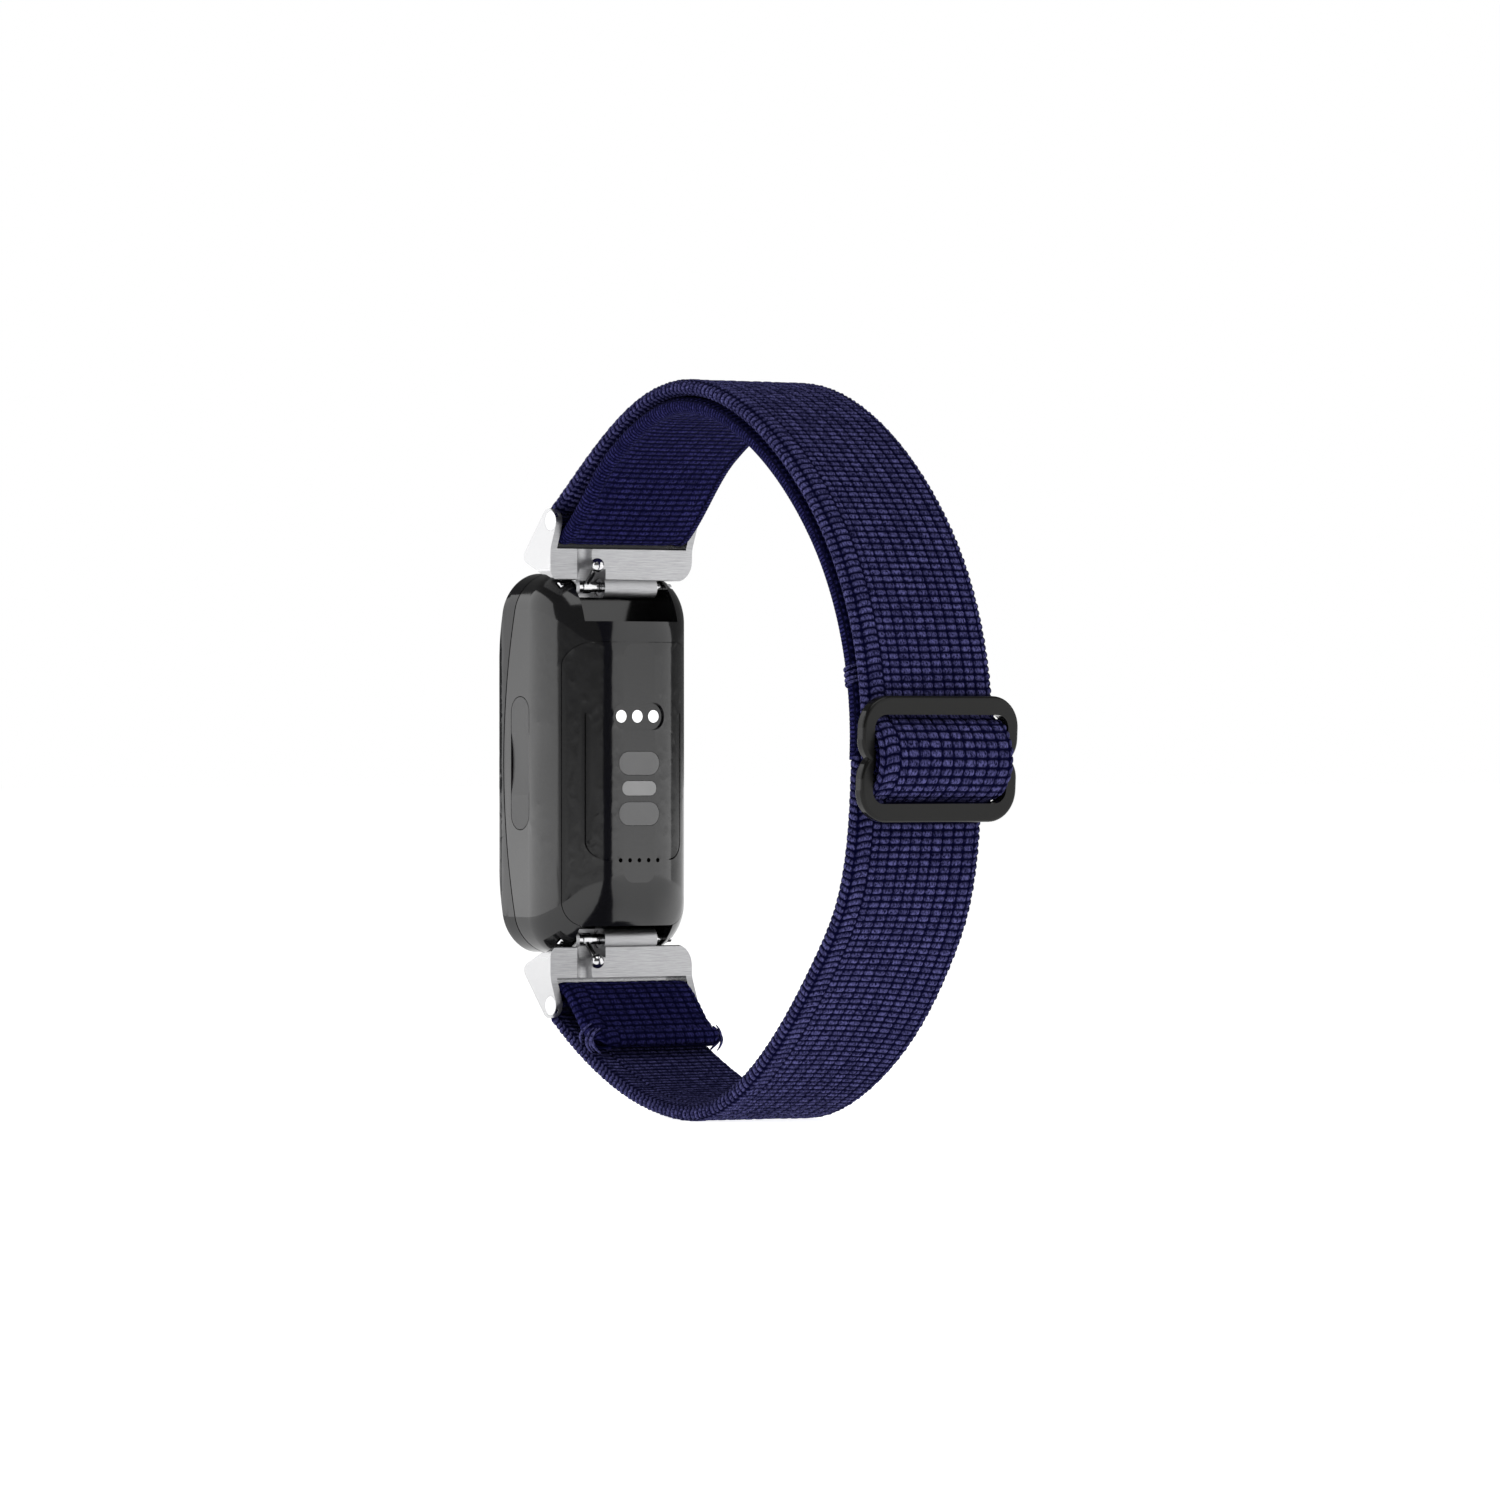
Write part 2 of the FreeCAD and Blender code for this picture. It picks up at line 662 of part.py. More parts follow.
def build_pin():
    """Headed pin that the webbing turns round, pressed into both cheeks."""
    half = connector_width / 2
    shaft = x_cylinder(pin_radius, pin_y, mid_z + pin_z, -half, half)
    for low, high in ((-half, -half + pin_head_depth), (half - pin_head_depth, half)):
        shaft = shaft.fuse(x_cylinder(pin_head_radius, pin_y, mid_z + pin_z, low, high))
    return shaft.removeSplitter()


def build_spring_bar():
    """Tube with one fixed tip, the sprung rod with its lever and knob, and the coil."""
    z = mid_z + hinge_z
    tube_far = tongue_far + bar_end_gap
    tube = x_cylinder(bar_radius, hinge_y, z, tube_far, notch_far - bar_end_gap)
    tube = tube.cut(x_cylinder(rod_radius + running, hinge_y, z, spring_start, notch_far))
    tip = x_cylinder(bar_tip_radius, hinge_y, z, -bar_tip_end, tube_far)
    shoulder = x_cylinder(bar_tip_radius + shoulder_step, hinge_y, z, tongue_far - shoulder_length,
                          tube_far)
    tube = tube.fuse(tip).fuse(shoulder).removeSplitter()

    rod_end = tongue_near - bar_end_gap
    rod = x_cylinder(rod_radius, hinge_y, z, rod_start, rod_end)
    rod = rod.fuse(x_cylinder(bar_tip_radius, hinge_y, z, rod_end, bar_tip_end))
    collar = x_cylinder(rod_radius + collar_step, hinge_y, z, lever_at - collar_half,
                        lever_at + collar_half)
    reach = math.hypot(knob_out, knob_up)
    lever = Part.makeCylinder(lever_radius, reach, V(lever_at, hinge_y, z), V(0, knob_out, knob_up))
    knob = Part.makeSphere(knob_radius, V(lever_at, hinge_y + knob_out, z + knob_up))
    rod = rod.fuse(collar).fuse(lever).fuse(knob).removeSplitter()

    length = rod_start - spring_start - 3 * spring_wire
    coil_radius = rod_radius - spring_wire - spring_clearance
    helix = Part.makeHelix(length / spring_turns, length, coil_radius)
    start = V(coil_radius, 0, 0)
    circle = Part.Wire(Part.makeCircle(spring_wire, start, V(0, 1, 0)))
    coil = Part.Wire(helix).makePipeShell([circle], True, True)
    coil.rotate(V(0, 0, 0), V(0, 1, 0), 90)
    coil.translate(V(spring_start + spring_wire, hinge_y, z))
    return tube, rod, coil


def build_connectors():
    connector = build_connector()
    tube, rod, coil = build_spring_bar()
    pieces = {"connector": connector, "strap_pin": build_pin(), "spring_bar_tube": tube,
              "release_pin": rod, "bar_spring": coil}
    for name, shape in pieces.items():
        keep("upper_" + name, shape)
        keep("lower_" + name, mirrored(shape))


# ---------------------------------------------------------------- strap
def bezier(start, start_way, end, end_way, count):
    """Samples of a cubic that leaves and arrives along two unit directions."""
    handle = math.hypot(end[0] - start[0], end[1] - start[1]) / 3
    b = (start[0] + handle * start_way[0], start[1] + handle * start_way[1])
    c = (end[0] - handle * end_way[0], end[1] - handle * end_way[1])
    samples = []
    for i in range(count):
        t = i / count
        u = 1 - t
        weights = (u ** 3, 3 * u * u * t, 3 * u * t * t, t ** 3)
        y = sum(w * p[0] for w, p in zip(weights, (start, b, c, end)))
        z = sum(w * p[1] for w, p in zip(weights, (start, b, c, end)))
        slopes = (u * u, 2 * u * t, t * t)
        legs = ((b[0] - start[0], b[1] - start[1]), (c[0] - b[0], c[1] - b[1]),
                (end[0] - c[0], end[1] - c[1]))
        dy = sum(w * leg[0] for w, leg in zip(slopes, legs))
        dz = sum(w * leg[1] for w, leg in zip(slopes, legs))
        size = math.hypot(dy, dz)
        samples.append((y, z, dy / size, dz / size))
    return samples


def outer_path():
    """Outer face of the strap, from the upper eye over the crown, the side and the base.

    Each sample is y, z and the direction of travel; the outward normal lies to its left.
    """
    slope = math.radians(eye_slope)
    out = (math.cos(slope), math.sin(slope))
    top_eye = (pin_y - eye_outer_radius * out[1], mid_z + pin_z + eye_outer_radius * out[0])
    low_eye = (pin_y - eye_outer_radius * out[1], mid_z - pin_z - eye_outer_radius * out[0])
    sweep = math.radians(side_sweep)
    arc_top = (arc_y + side_radius * math.cos(sweep), arc_z + side_radius * math.sin(sweep))
    arc_low = (arc_top[0], arc_z - side_radius * math.sin(sweep))
    top = (crown_shift, loop_height / 2)
    base = (base_shift, -loop_height / 2)
    down = (math.sin(sweep), -math.cos(sweep))
    path = bezier(top_eye, out, top, (1, 0), curve_steps)
    path += bezier(top, (1, 0), arc_top, down, curve_steps)
    for i in range(arc_steps):
        angle = sweep - 2 * sweep * i / arc_steps
        path.append((arc_y + side_radius * math.cos(angle), arc_z + side_radius * math.sin(angle),
                     math.sin(angle), -math.cos(angle)))
    path += bezier(arc_low, (-down[0], down[1]), base, (-1, 0), curve_steps)
    path += bezier(base, (-1, 0), low_eye, (-out[0], out[1]), curve_steps)
    path.append((low_eye[0], low_eye[1], -out[0], out[1]))
    return path


def lengths(path):
    """Distance travelled at each sample."""
    total = 0.0
    result = [0.0]
    for before, after in zip(path, path[1:]):
        total += math.hypot(after[0] - before[0], after[1] - before[1])
        result.append(total)
    return result


def sunk(sample, depth):
    """Point at a depth below the outer face."""
    y, z, dy, dz = sample
    return yz(y + dz * depth, z - dy * depth)


def ribbon(path, shallow, deep):
    """Band of webbing between two depths, each a list with one value per sample."""
    outer = [sunk(s, d) for s, d in zip(path, shallow)]
    inner = [sunk(s, d) for s, d in zip(path, deep)]
    outer_curve = Part.BSplineCurve()
    outer_curve.interpolate(outer)
    inner_curve = Part.BSplineCurve()
    inner_curve.interpolate(inner)
    edges = [outer_curve.toShape(), Part.makeLine(outer[-1], inner[-1]),
             inner_curve.toShape(), Part.makeLine(inner[0], outer[0])]
    face = Part.Face(Part.Wire(Part.__sortEdges__(edges)))
    return along_x(face, -half_strap, half_strap)


def eye(inner_radius, z, first_way):
    """Webbing turned round a pin: half a ring on the side away from the strap."""
    ring = x_cylinder(eye_outer_radius, pin_y, z, -half_strap, half_strap)
    ring = ring.cut(x_cylinder(inner_radius, pin_y, z, -strap_width, strap_width))
    size = 2 * eye_outer_radius
    away = Part.makeBox(strap_width, size, size, V(-half_strap, 0, -size / 2))
    away.rotate(V(0, 0, 0), V(1, 0, 0), math.degrees(math.atan2(first_way[1], first_way[0])))
    away.translate(V(0, pin_y, z))
    return ring.cut(away)


def eased(share):
    """Smooth step from 0 to 1."""
    share = min(max(share, 0.0), 1.0)
    return share * share * (3 - 2 * share)


def build_strap():
    path = outer_path()
    travelled = lengths(path)
    thin_upper = eye_outer_radius - pin_radius - eye_clearance
    thin_lower = eye_outer_radius - pin_radius - open_eye_clearance
    total = travelled[-1]

    def band_thickness(s):
        start = thin_upper + (strap_thickness - thin_upper) * eased(s / layer_taper)
        end = thin_lower - strap_thickness
        return start + end * eased(1 - (total - s) / layer_taper)

    thickness = [band_thickness(s) for s in travelled]
    keep("strap_outer_band", ribbon(path, [0.0] * len(path), thickness))

    slope = math.radians(eye_slope)
    out = (math.cos(slope), math.sin(slope))
    keep("strap_upper_eye", eye(pin_radius + eye_clearance, mid_z + pin_z, out))
    keep("strap_lower_eye", eye(pin_radius + open_eye_clearance, mid_z - pin_z,
                                (out[0], -out[1])))

    layer_end = math.radians(slider_angle) - centre_bar_height / side_radius
    end_z = arc_z + side_radius * math.sin(layer_end)
    inner = [i for i, s in enumerate(path) if s[1] > end_z or travelled[i] < layer_taper]
    inner = [i for i in inner if travelled[i] < total / 2 + tail_length]
    inner_path = [path[i] for i in inner]
    shallow = []
    deep = []
    for i in inner:
        open_share = 1 - eased(travelled[i] / layer_taper)
        gap = layer_gap + (2 * (pin_radius + eye_clearance) - layer_gap) * open_share
        shallow.append(thickness[i] + gap)
        deep.append(2 * thickness[i] + gap)
    keep("strap_inner_layer", ribbon(inner_path, shallow, deep))

    tail = [i for i, s in enumerate(travelled) if total - s < tail_length]
    tail_path = [path[i] for i in tail]
    shallow = []
    deep = []
    for i in tail:
        back = total - travelled[i]
        open_share = 1 - eased(back / tail_length)
        gap = layer_gap + (2 * (pin_radius + open_eye_clearance) - layer_gap) * open_share
        hem = (hem_thickness - strap_thickness) * eased(
            (back - tail_length + hem_length) / hem_ramp)
        shallow.append(thickness[i] + gap)
        deep.append(2 * thickness[i] + gap + hem)
    keep("strap_lower_tail", ribbon(tail_path, shallow, deep))


# ---------------------------------------------------------------- slider buckle
def round_arc(shape):
    """Carry a piece built at the side arc's middle round to the slider's place."""
    moved = shape.copy()
    moved.rotate(V(0, arc_y, arc_z), V(1, 0, 0), slider_angle)
    return moved


def slider_plate(width, low_z, high_z, radii, low_y, high_y):
    """Rounded plate at the side arc's middle, its heights taken from there."""
    face = rectangle(-width / 2, arc_z + low_z, width / 2, arc_z + high_z, radii,
                     lambda a, b: xz(a, b, low_y))
    return face.extrude(V(0, high_y - low_y, 0))


def lobe(sign, low, high):
    """One half of the slider's outline, its edges rounded."""
    near = -sign * waist_overlap
    far = sign * slider_height / 2
    if sign > 0:
        radii = (waist_corner, waist_corner, slider_corner, slider_corner)
    else:
        radii = (slider_corner, slider_corner, waist_corner, waist_corner)
    plate = slider_plate(slider_width, min(near, far), max(near, far), radii, low, high)
    rim = [e for e in plate.Edges if abs(e.BoundBox.YMax - e.BoundBox.YMin) < 1e-6]
    return plate.makeFillet(slider_edge, rim)


def arch(rise, half, thickness):
    """Strip of webbing bowed over the centre bar, its feet on the strap's outer face."""
    low_y = side_y + slider_clearance
    high = rise - slider_clearance
    radius = (half * half + high * high) / (2 * high)
    centre_y = low_y + high - radius
    reach = half_strap - webbing_squeeze
    outer = x_cylinder(radius, centre_y, arc_z, -reach, reach)
    inner = x_cylinder(radius - thickness, centre_y, arc_z, -strap_width, strap_width)
    kept = slider_plate(2 * reach, -half, half, (slot_round,) * 4, low_y, low_y + rise)
    return outer.cut(inner).common(kept)


def build_slider():
    low = side_y + slider_clearance
    high = low + slider_thickness
    plate = lobe(1, low, high).fuse(lobe(-1, low, high)).removeSplitter()
    slot_near = centre_bar_height / 2
    slot_far = slider_height / 2 - slider_bar
    upper = slider_plate(slot_width, slot_near, slot_far,
                         (slot_corner, slot_corner, slot_round, slot_round), low - 1, high + 1)
    lower = slider_plate(slot_width, -slot_far, -slot_near,
                         (slot_round, slot_round, slot_corner, slot_corner), low - 1, high + 1)
    thinned = slider_plate(slot_width, -slot_near - slot_corner, slot_near + slot_corner,
                           (0,) * 4, low + centre_bar_thickness, high + 1)
    keep("slider_buckle", round_arc(plate.cut(upper).cut(lower).cut(thinned)))

    keep("strap_slider_hump", round_arc(arch(hump_rise, slot_far - hump_set_in, hump_thickness)))

    bar_top = low + centre_bar_thickness + loop_lift
    loop_half = centre_bar_height / 2 + loop_gap
    outer = rectangle(low, arc_z - loop_half - loop_thickness, bar_top + loop_thickness * loop_press,
                      arc_z + loop_half + loop_thickness,
                      (0, loop_thickness, loop_thickness, 0), yz)
    inner = box((-strap_width, low - 1, arc_z - loop_half), (strap_width, bar_top, arc_z + loop_half))
    reach = half_strap - webbing_squeeze
    sewn_loop = along_x(outer, -reach, reach).cut(inner)
    keep("strap_slider_loop", round_arc(sewn_loop))


# ---------------------------------------------------------------- write
def solids_only(shape):
    """A single solid as itself, several as one compound."""
    solids = shape.Solids
    if len(solids) == 1:
        return solids[0]
    return Part.makeCompound(solids)


def main():
    build_tracker()
    build_buttons()
    build_insides()
    build_connectors()
    build_strap()
    build_slider()
    os.makedirs("parts", exist_ok=True)
    for name, shape in parts.items():
        whole = solids_only(shape)
        print(name, len(whole.Solids), whole.isValid(), round(whole.Volume, 2))
        whole.exportStep("parts/" + name + ".step")


main()
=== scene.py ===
import json
import math

import bpy
import numpy as np
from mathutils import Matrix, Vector


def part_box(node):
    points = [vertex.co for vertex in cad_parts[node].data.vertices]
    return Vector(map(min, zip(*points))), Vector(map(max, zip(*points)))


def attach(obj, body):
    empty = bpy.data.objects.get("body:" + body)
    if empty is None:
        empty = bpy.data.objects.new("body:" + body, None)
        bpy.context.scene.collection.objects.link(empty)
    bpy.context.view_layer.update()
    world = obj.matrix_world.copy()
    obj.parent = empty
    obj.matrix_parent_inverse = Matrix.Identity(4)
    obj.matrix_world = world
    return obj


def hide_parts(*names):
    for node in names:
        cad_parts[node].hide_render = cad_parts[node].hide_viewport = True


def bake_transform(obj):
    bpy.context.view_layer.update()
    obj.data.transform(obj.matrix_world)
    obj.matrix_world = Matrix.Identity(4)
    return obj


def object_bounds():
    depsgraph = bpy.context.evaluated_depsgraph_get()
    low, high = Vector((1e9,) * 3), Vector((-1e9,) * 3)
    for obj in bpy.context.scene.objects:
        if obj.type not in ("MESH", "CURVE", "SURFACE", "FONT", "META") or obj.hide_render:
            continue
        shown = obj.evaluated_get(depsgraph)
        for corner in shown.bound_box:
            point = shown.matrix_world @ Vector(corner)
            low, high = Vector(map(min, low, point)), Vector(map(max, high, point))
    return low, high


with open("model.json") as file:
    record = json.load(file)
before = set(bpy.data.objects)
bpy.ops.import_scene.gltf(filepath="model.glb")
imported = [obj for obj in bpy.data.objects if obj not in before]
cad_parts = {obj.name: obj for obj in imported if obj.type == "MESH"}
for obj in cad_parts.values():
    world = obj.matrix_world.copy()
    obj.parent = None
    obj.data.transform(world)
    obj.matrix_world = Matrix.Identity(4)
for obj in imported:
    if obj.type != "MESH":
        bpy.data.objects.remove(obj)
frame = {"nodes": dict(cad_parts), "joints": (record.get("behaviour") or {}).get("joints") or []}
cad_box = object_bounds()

MM = 0.001
nodes = frame["nodes"]
joints = {joint["name"]: joint for joint in frame["joints"]}

# ---------------------------------------------------------------- studio
# The band stands upright on a pale floor and is looked at from behind its right edge,
# level with its middle.  Two tall soft boxes stand left of the camera and beyond the
# band's right edge, and a wide one hangs overhead; the dark between them is what the
# glossy tracker shows as its black streak.
VIEW_FROM = 145.0           # degrees round from the screen side
LENS = 200.0
SENSOR = 36.0
FRAME_WIDTH = 144.2 * MM    # what the view spans at the band
LOOK_AT = Vector((0.0, -3.7 * MM, 0.0))
ROOM_LIGHT = 0.13           # what the pale room adds to the soft boxes
FLOOR_GLOW = 0.90           # keeps the floor as pale as the room

turn = math.radians(VIEW_FROM)
towards_camera = Vector((math.sin(turn), -math.cos(turn), 0.0))
camera = bpy.data.objects.new("camera", bpy.data.cameras.new("camera"))
camera.data.lens = LENS
camera.data.sensor_width = SENSOR
camera.data.clip_start = 0.01
camera.data.clip_end = 20.0
camera.location = LOOK_AT + towards_camera * (FRAME_WIDTH * LENS / SENSOR)
camera.rotation_mode = "QUATERNION"
camera.rotation_quaternion = (-towards_camera).to_track_quat("-Z", "Y")
bpy.context.scene.collection.objects.link(camera)
bpy.context.scene.camera = camera
bpy.context.scene.view_settings.view_transform = "Standard"


def soft_box(name, bearing, rise, distance, width, height, power):
    """Area light facing the band; bearing is degrees from +Y towards +X, rise degrees up."""
    light = bpy.data.lights.new(name, "AREA")
    light.shape = "RECTANGLE"
    light.size = width
    light.size_y = height
    light.energy = power
    stand = bpy.data.objects.new(name, light)
    way = Vector((math.sin(math.radians(bearing)) * math.cos(math.radians(rise)),
                  math.cos(math.radians(bearing)) * math.cos(math.radians(rise)),
                  math.sin(math.radians(rise))))
    stand.location = way * distance
    stand.rotation_euler = way.to_track_quat("Z", "Y").to_euler()
    stand.visible_camera = False
    bpy.context.scene.collection.objects.link(stand)


soft_box("left_box", -38, 0, 0.6, 0.90, 1.0, 4.0)
soft_box("far_right_box", 122, 0, 0.6, 0.86, 1.0, 5.0)
soft_box("overhead_box", 10, 68, 0.8, 0.7, 0.5, 2.4)

world = bpy.data.worlds.new("pale_room")
bpy.context.scene.world = world
world.use_nodes = True
room = world.node_tree
room_light = room.nodes["Background"]
room_light.inputs["Color"].default_value = (1.0, 1.0, 1.0, 1.0)
room_light.inputs["Strength"].default_value = ROOM_LIGHT
room_seen = room.nodes.new("ShaderNodeBackground")
room_seen.inputs["Color"].default_value = (1.0, 1.0, 1.0, 1.0)
room_seen.inputs["Strength"].default_value = 1.0
which = room.nodes.new("ShaderNodeMixShader")
ray = room.nodes.new("ShaderNodeLightPath")
room.links.new(ray.outputs["Is Camera Ray"], which.inputs[0])
room.links.new(room_light.outputs[0], which.inputs[1])
room.links.new(room_seen.outputs[0], which.inputs[2])
room.links.new(which.outputs[0], room.nodes["World Output"].inputs["Surface"])

floor_mesh = bpy.data.meshes.new("floor")
FLOOR_HALF = 6.0
under = cad_box[0].z
floor_mesh.from_pydata([(-FLOOR_HALF, -FLOOR_HALF, under), (FLOOR_HALF, -FLOOR_HALF, under),
                        (FLOOR_HALF, FLOOR_HALF, under), (-FLOOR_HALF, FLOOR_HALF, under)],
                       [], [(0, 1, 2, 3)])
floor = bpy.data.objects.new("floor", floor_mesh)
bpy.context.scene.collection.objects.link(floor)
floor_paint = bpy.data.materials.new("floor_paint")
floor_paint.use_nodes = True
paint = floor_paint.node_tree.nodes["Principled BSDF"]
paint.inputs["Base Color"].default_value = (0.9, 0.9, 0.9, 1.0)
paint.inputs["Roughness"].default_value = 0.9
paint.inputs["Specular IOR Level"].default_value = 0.1
paint.inputs["Emission Color"].default_value = (1.0, 1.0, 1.0, 1.0)
paint.inputs["Emission Strength"].default_value = FLOOR_GLOW
floor_mesh.materials.append(floor_paint)


# ---------------------------------------------------------------- tracker case
# The case is injection-moulded gloss black plastic with a high polish: what breaks up
# its reflections is a faint orange peel and the haze of handling.
def put(tree, kind, sockets=None, **settings):
    """Adds a node; each socket given is set, or linked where its value is an output."""
    made = tree.nodes.new(kind)
    for key, value in settings.items():
        setattr(made, key, value)
    for key, value in (sockets or {}).items():
        if isinstance(value, bpy.types.NodeSocket):
            tree.links.new(value, made.inputs[key])
        else:
            made.inputs[key].default_value = value
    return made


def new_group(name, inputs, outputs):
    """An empty shader group with float, colour or vector sockets, and its two end nodes."""
    tree = bpy.data.node_groups.new(name, "ShaderNodeTree")
    kinds = {"float": "NodeSocketFloat", "colour": "NodeSocketColor",
             "vector": "NodeSocketVector"}
    for socket, kind in inputs.items():
        tree.interface.new_socket(name=socket, in_out="INPUT", socket_type=kinds[kind])
    for socket, kind in outputs.items():
        tree.interface.new_socket(name=socket, in_out="OUTPUT", socket_type=kinds[kind])
    return tree, tree.nodes.new("NodeGroupInput"), tree.nodes.new("NodeGroupOutput")


def moulded_group():
    """Object-space orange peel, handling haze and a tone that drifts slowly."""
    tree, given, out = new_group(
        "moulded_surface",
        {"Peel Scale": "float", "Haze Scale": "float", "Roughness": "float", "Haze": "float"},
        {"Peel": "float", "Roughness": "float", "Tone": "float"})
    place = put(tree, "ShaderNodeTexCoord").outputs["Object"]
    peel = put(tree, "ShaderNodeTexNoise", {"Vector": place, "Scale": given.outputs["Peel Scale"],
                                            "Detail": 2.0})
    haze = put(tree, "ShaderNodeTexNoise", {"Vector": place, "Scale": given.outputs["Haze Scale"],
                                            "Detail": 5.0, "Distortion": 0.6})
    share = put(tree, "ShaderNodeMath", {0: haze.outputs["Fac"], 1: given.outputs["Haze"]},
                operation="MULTIPLY")
    rough = put(tree, "ShaderNodeMath", {0: share.outputs[0], 1: given.outputs["Roughness"]},
                operation="ADD")
    tree.links.new(peel.outputs["Fac"], out.inputs["Peel"])
    tree.links.new(rough.outputs[0], out.inputs["Roughness"])
    tree.links.new(haze.outputs["Fac"], out.inputs["Tone"])
    return tree


moulded = moulded_group()
HAZE_SCALE = 90.0


def moulded_finish(name, dark, light, roughness, haze, peel_scale, peel_height, rim=None):
    """Material of moulded plastic, glass or rubber: two tones, haze and orange peel.

    Where rim is given, faces that look away from the Y axis have their roughness times rim.
    """
    material = bpy.data.materials.new(name)
    material.use_nodes = True
    tree = material.node_tree
    shader = tree.nodes["Principled BSDF"]
    surface = put(tree, "ShaderNodeGroup", node_tree=moulded)
    surface.inputs["Peel Scale"].default_value = peel_scale
    surface.inputs["Haze Scale"].default_value = HAZE_SCALE
    surface.inputs["Roughness"].default_value = roughness
    surface.inputs["Haze"].default_value = haze
    tone = put(tree, "ShaderNodeMixRGB", {0: surface.outputs["Tone"],
                                          1: (*dark, 1.0), 2: (*light, 1.0)})
    bump = put(tree, "ShaderNodeBump", {"Strength": 1.0, "Distance": peel_height,
                                        "Height": surface.outputs["Peel"]})
    rough = surface.outputs["Roughness"]
    if rim is not None:
        facing = put(tree, "ShaderNodeSeparateXYZ",
                     {0: put(tree, "ShaderNodeTexCoord").outputs["Normal"]})
        along_y = put(tree, "ShaderNodeMath", {0: facing.outputs["Y"]}, operation="ABSOLUTE")
        worn = put(tree, "ShaderNodeMapRange", {"Value": along_y.outputs[0], "From Min": 0.6,
                                                "From Max": 0.95, "To Min": rim})
        rough = put(tree, "ShaderNodeMath", {0: rough, 1: worn.outputs[0]},
                    operation="MULTIPLY").outputs[0]
    tree.links.new(tone.outputs[0], shader.inputs["Base Color"])
    tree.links.new(rough, shader.inputs["Roughness"])
    tree.links.new(bump.outputs["Normal"], shader.inputs["Normal"])
    return material


def finish_node(name, material):
    """Gives a CAD node its material."""
    mesh = nodes[name].data
    mesh.materials.clear()
    mesh.materials.append(material)


case_plastic = moulded_finish("case_plastic", (0.0045, 0.0045, 0.005), (0.0075, 0.0075, 0.008),
                              0.08, 0.06, 2600.0, 0.0006 * MM)
finish_node("main_housing", case_plastic)
finish_node("back_cover", case_plastic)

# The screen is one piece of curved black-backed glass, bonded on a thin dark gasket.
screen_glass = moulded_finish("screen_glass", (0.004, 0.004, 0.005), (0.006, 0.006, 0.007),
                              0.05, 0.03, 900.0, 0.0002 * MM)
screen_glass.node_tree.nodes["Principled BSDF"].inputs["Specular IOR Level"].default_value = 0.3
rubber = moulded_finish("gasket_rubber", (0.006, 0.006, 0.006), (0.012, 0.012, 0.012),
                        0.6, 0.2, 5200.0, 0.004 * MM)
finish_node("front_glass", screen_glass)
finish_node("glass_gasket", rubber)
finish_node("back_seal", rubber)

# Sensor windows are smoked grey lenses set flush into the cover, and the lamp's is clearer.
smoked_lens = moulded_finish("smoked_lens", (0.080, 0.080, 0.081), (0.135, 0.135, 0.136),
                             0.16, 0.10, 1500.0, 0.001 * MM)
lamp_lens = moulded_finish("lamp_lens", (0.20, 0.20, 0.20), (0.34, 0.34, 0.34),
                           0.12, 0.10, 1200.0, 0.001 * MM)
finish_node("photodiode_windows", smoked_lens)
finish_node("led_window", lamp_lens)

# Side buttons are shot in the case's plastic with a finer, duller polish.
button_plastic = moulded_finish("button_plastic", (0.040, 0.040, 0.041),
                                (0.056, 0.056, 0.057), 0.38, 0.12, 3800.0, 0.001 * MM)
finish_node("side_button_near", button_plastic)
finish_node("side_button_far", button_plastic)


# ---------------------------------------------------------------- connectors
# Each connector is machined from stainless steel, its plate brushed along the wrist and
# its cheeks polished; pins and sprung release bars are turned steel.
def brushed_group():
    """Fine straight scratches: noise stretched hard along the brushing."""
    tree, given, out = new_group(
        "brushed_steel", {"Stretch": "vector", "Roughness": "float", "Spread": "float"},
        {"Line": "float", "Roughness": "float", "Tone": "float"})
    place = put(tree, "ShaderNodeTexCoord").outputs["Object"]
    drawn = put(tree, "ShaderNodeMapping", {"Vector": place, "Scale": given.outputs["Stretch"]})
    line = put(tree, "ShaderNodeTexNoise", {"Vector": drawn.outputs[0], "Scale": 1.0,
                                            "Detail": 6.0, "Roughness": 0.7})
    share = put(tree, "ShaderNodeMath", {0: line.outputs["Fac"], 1: given.outputs["Spread"]},
                operation="MULTIPLY")
    rough = put(tree, "ShaderNodeMath", {0: share.outputs[0], 1: given.outputs["Roughness"]},
                operation="ADD")
    tree.links.new(line.outputs["Fac"], out.inputs["Line"])
    tree.links.new(rough.outputs[0], out.inputs["Roughness"])
    tree.links.new(line.outputs["Fac"], out.inputs["Tone"])
    return tree


brushed = brushed_group()


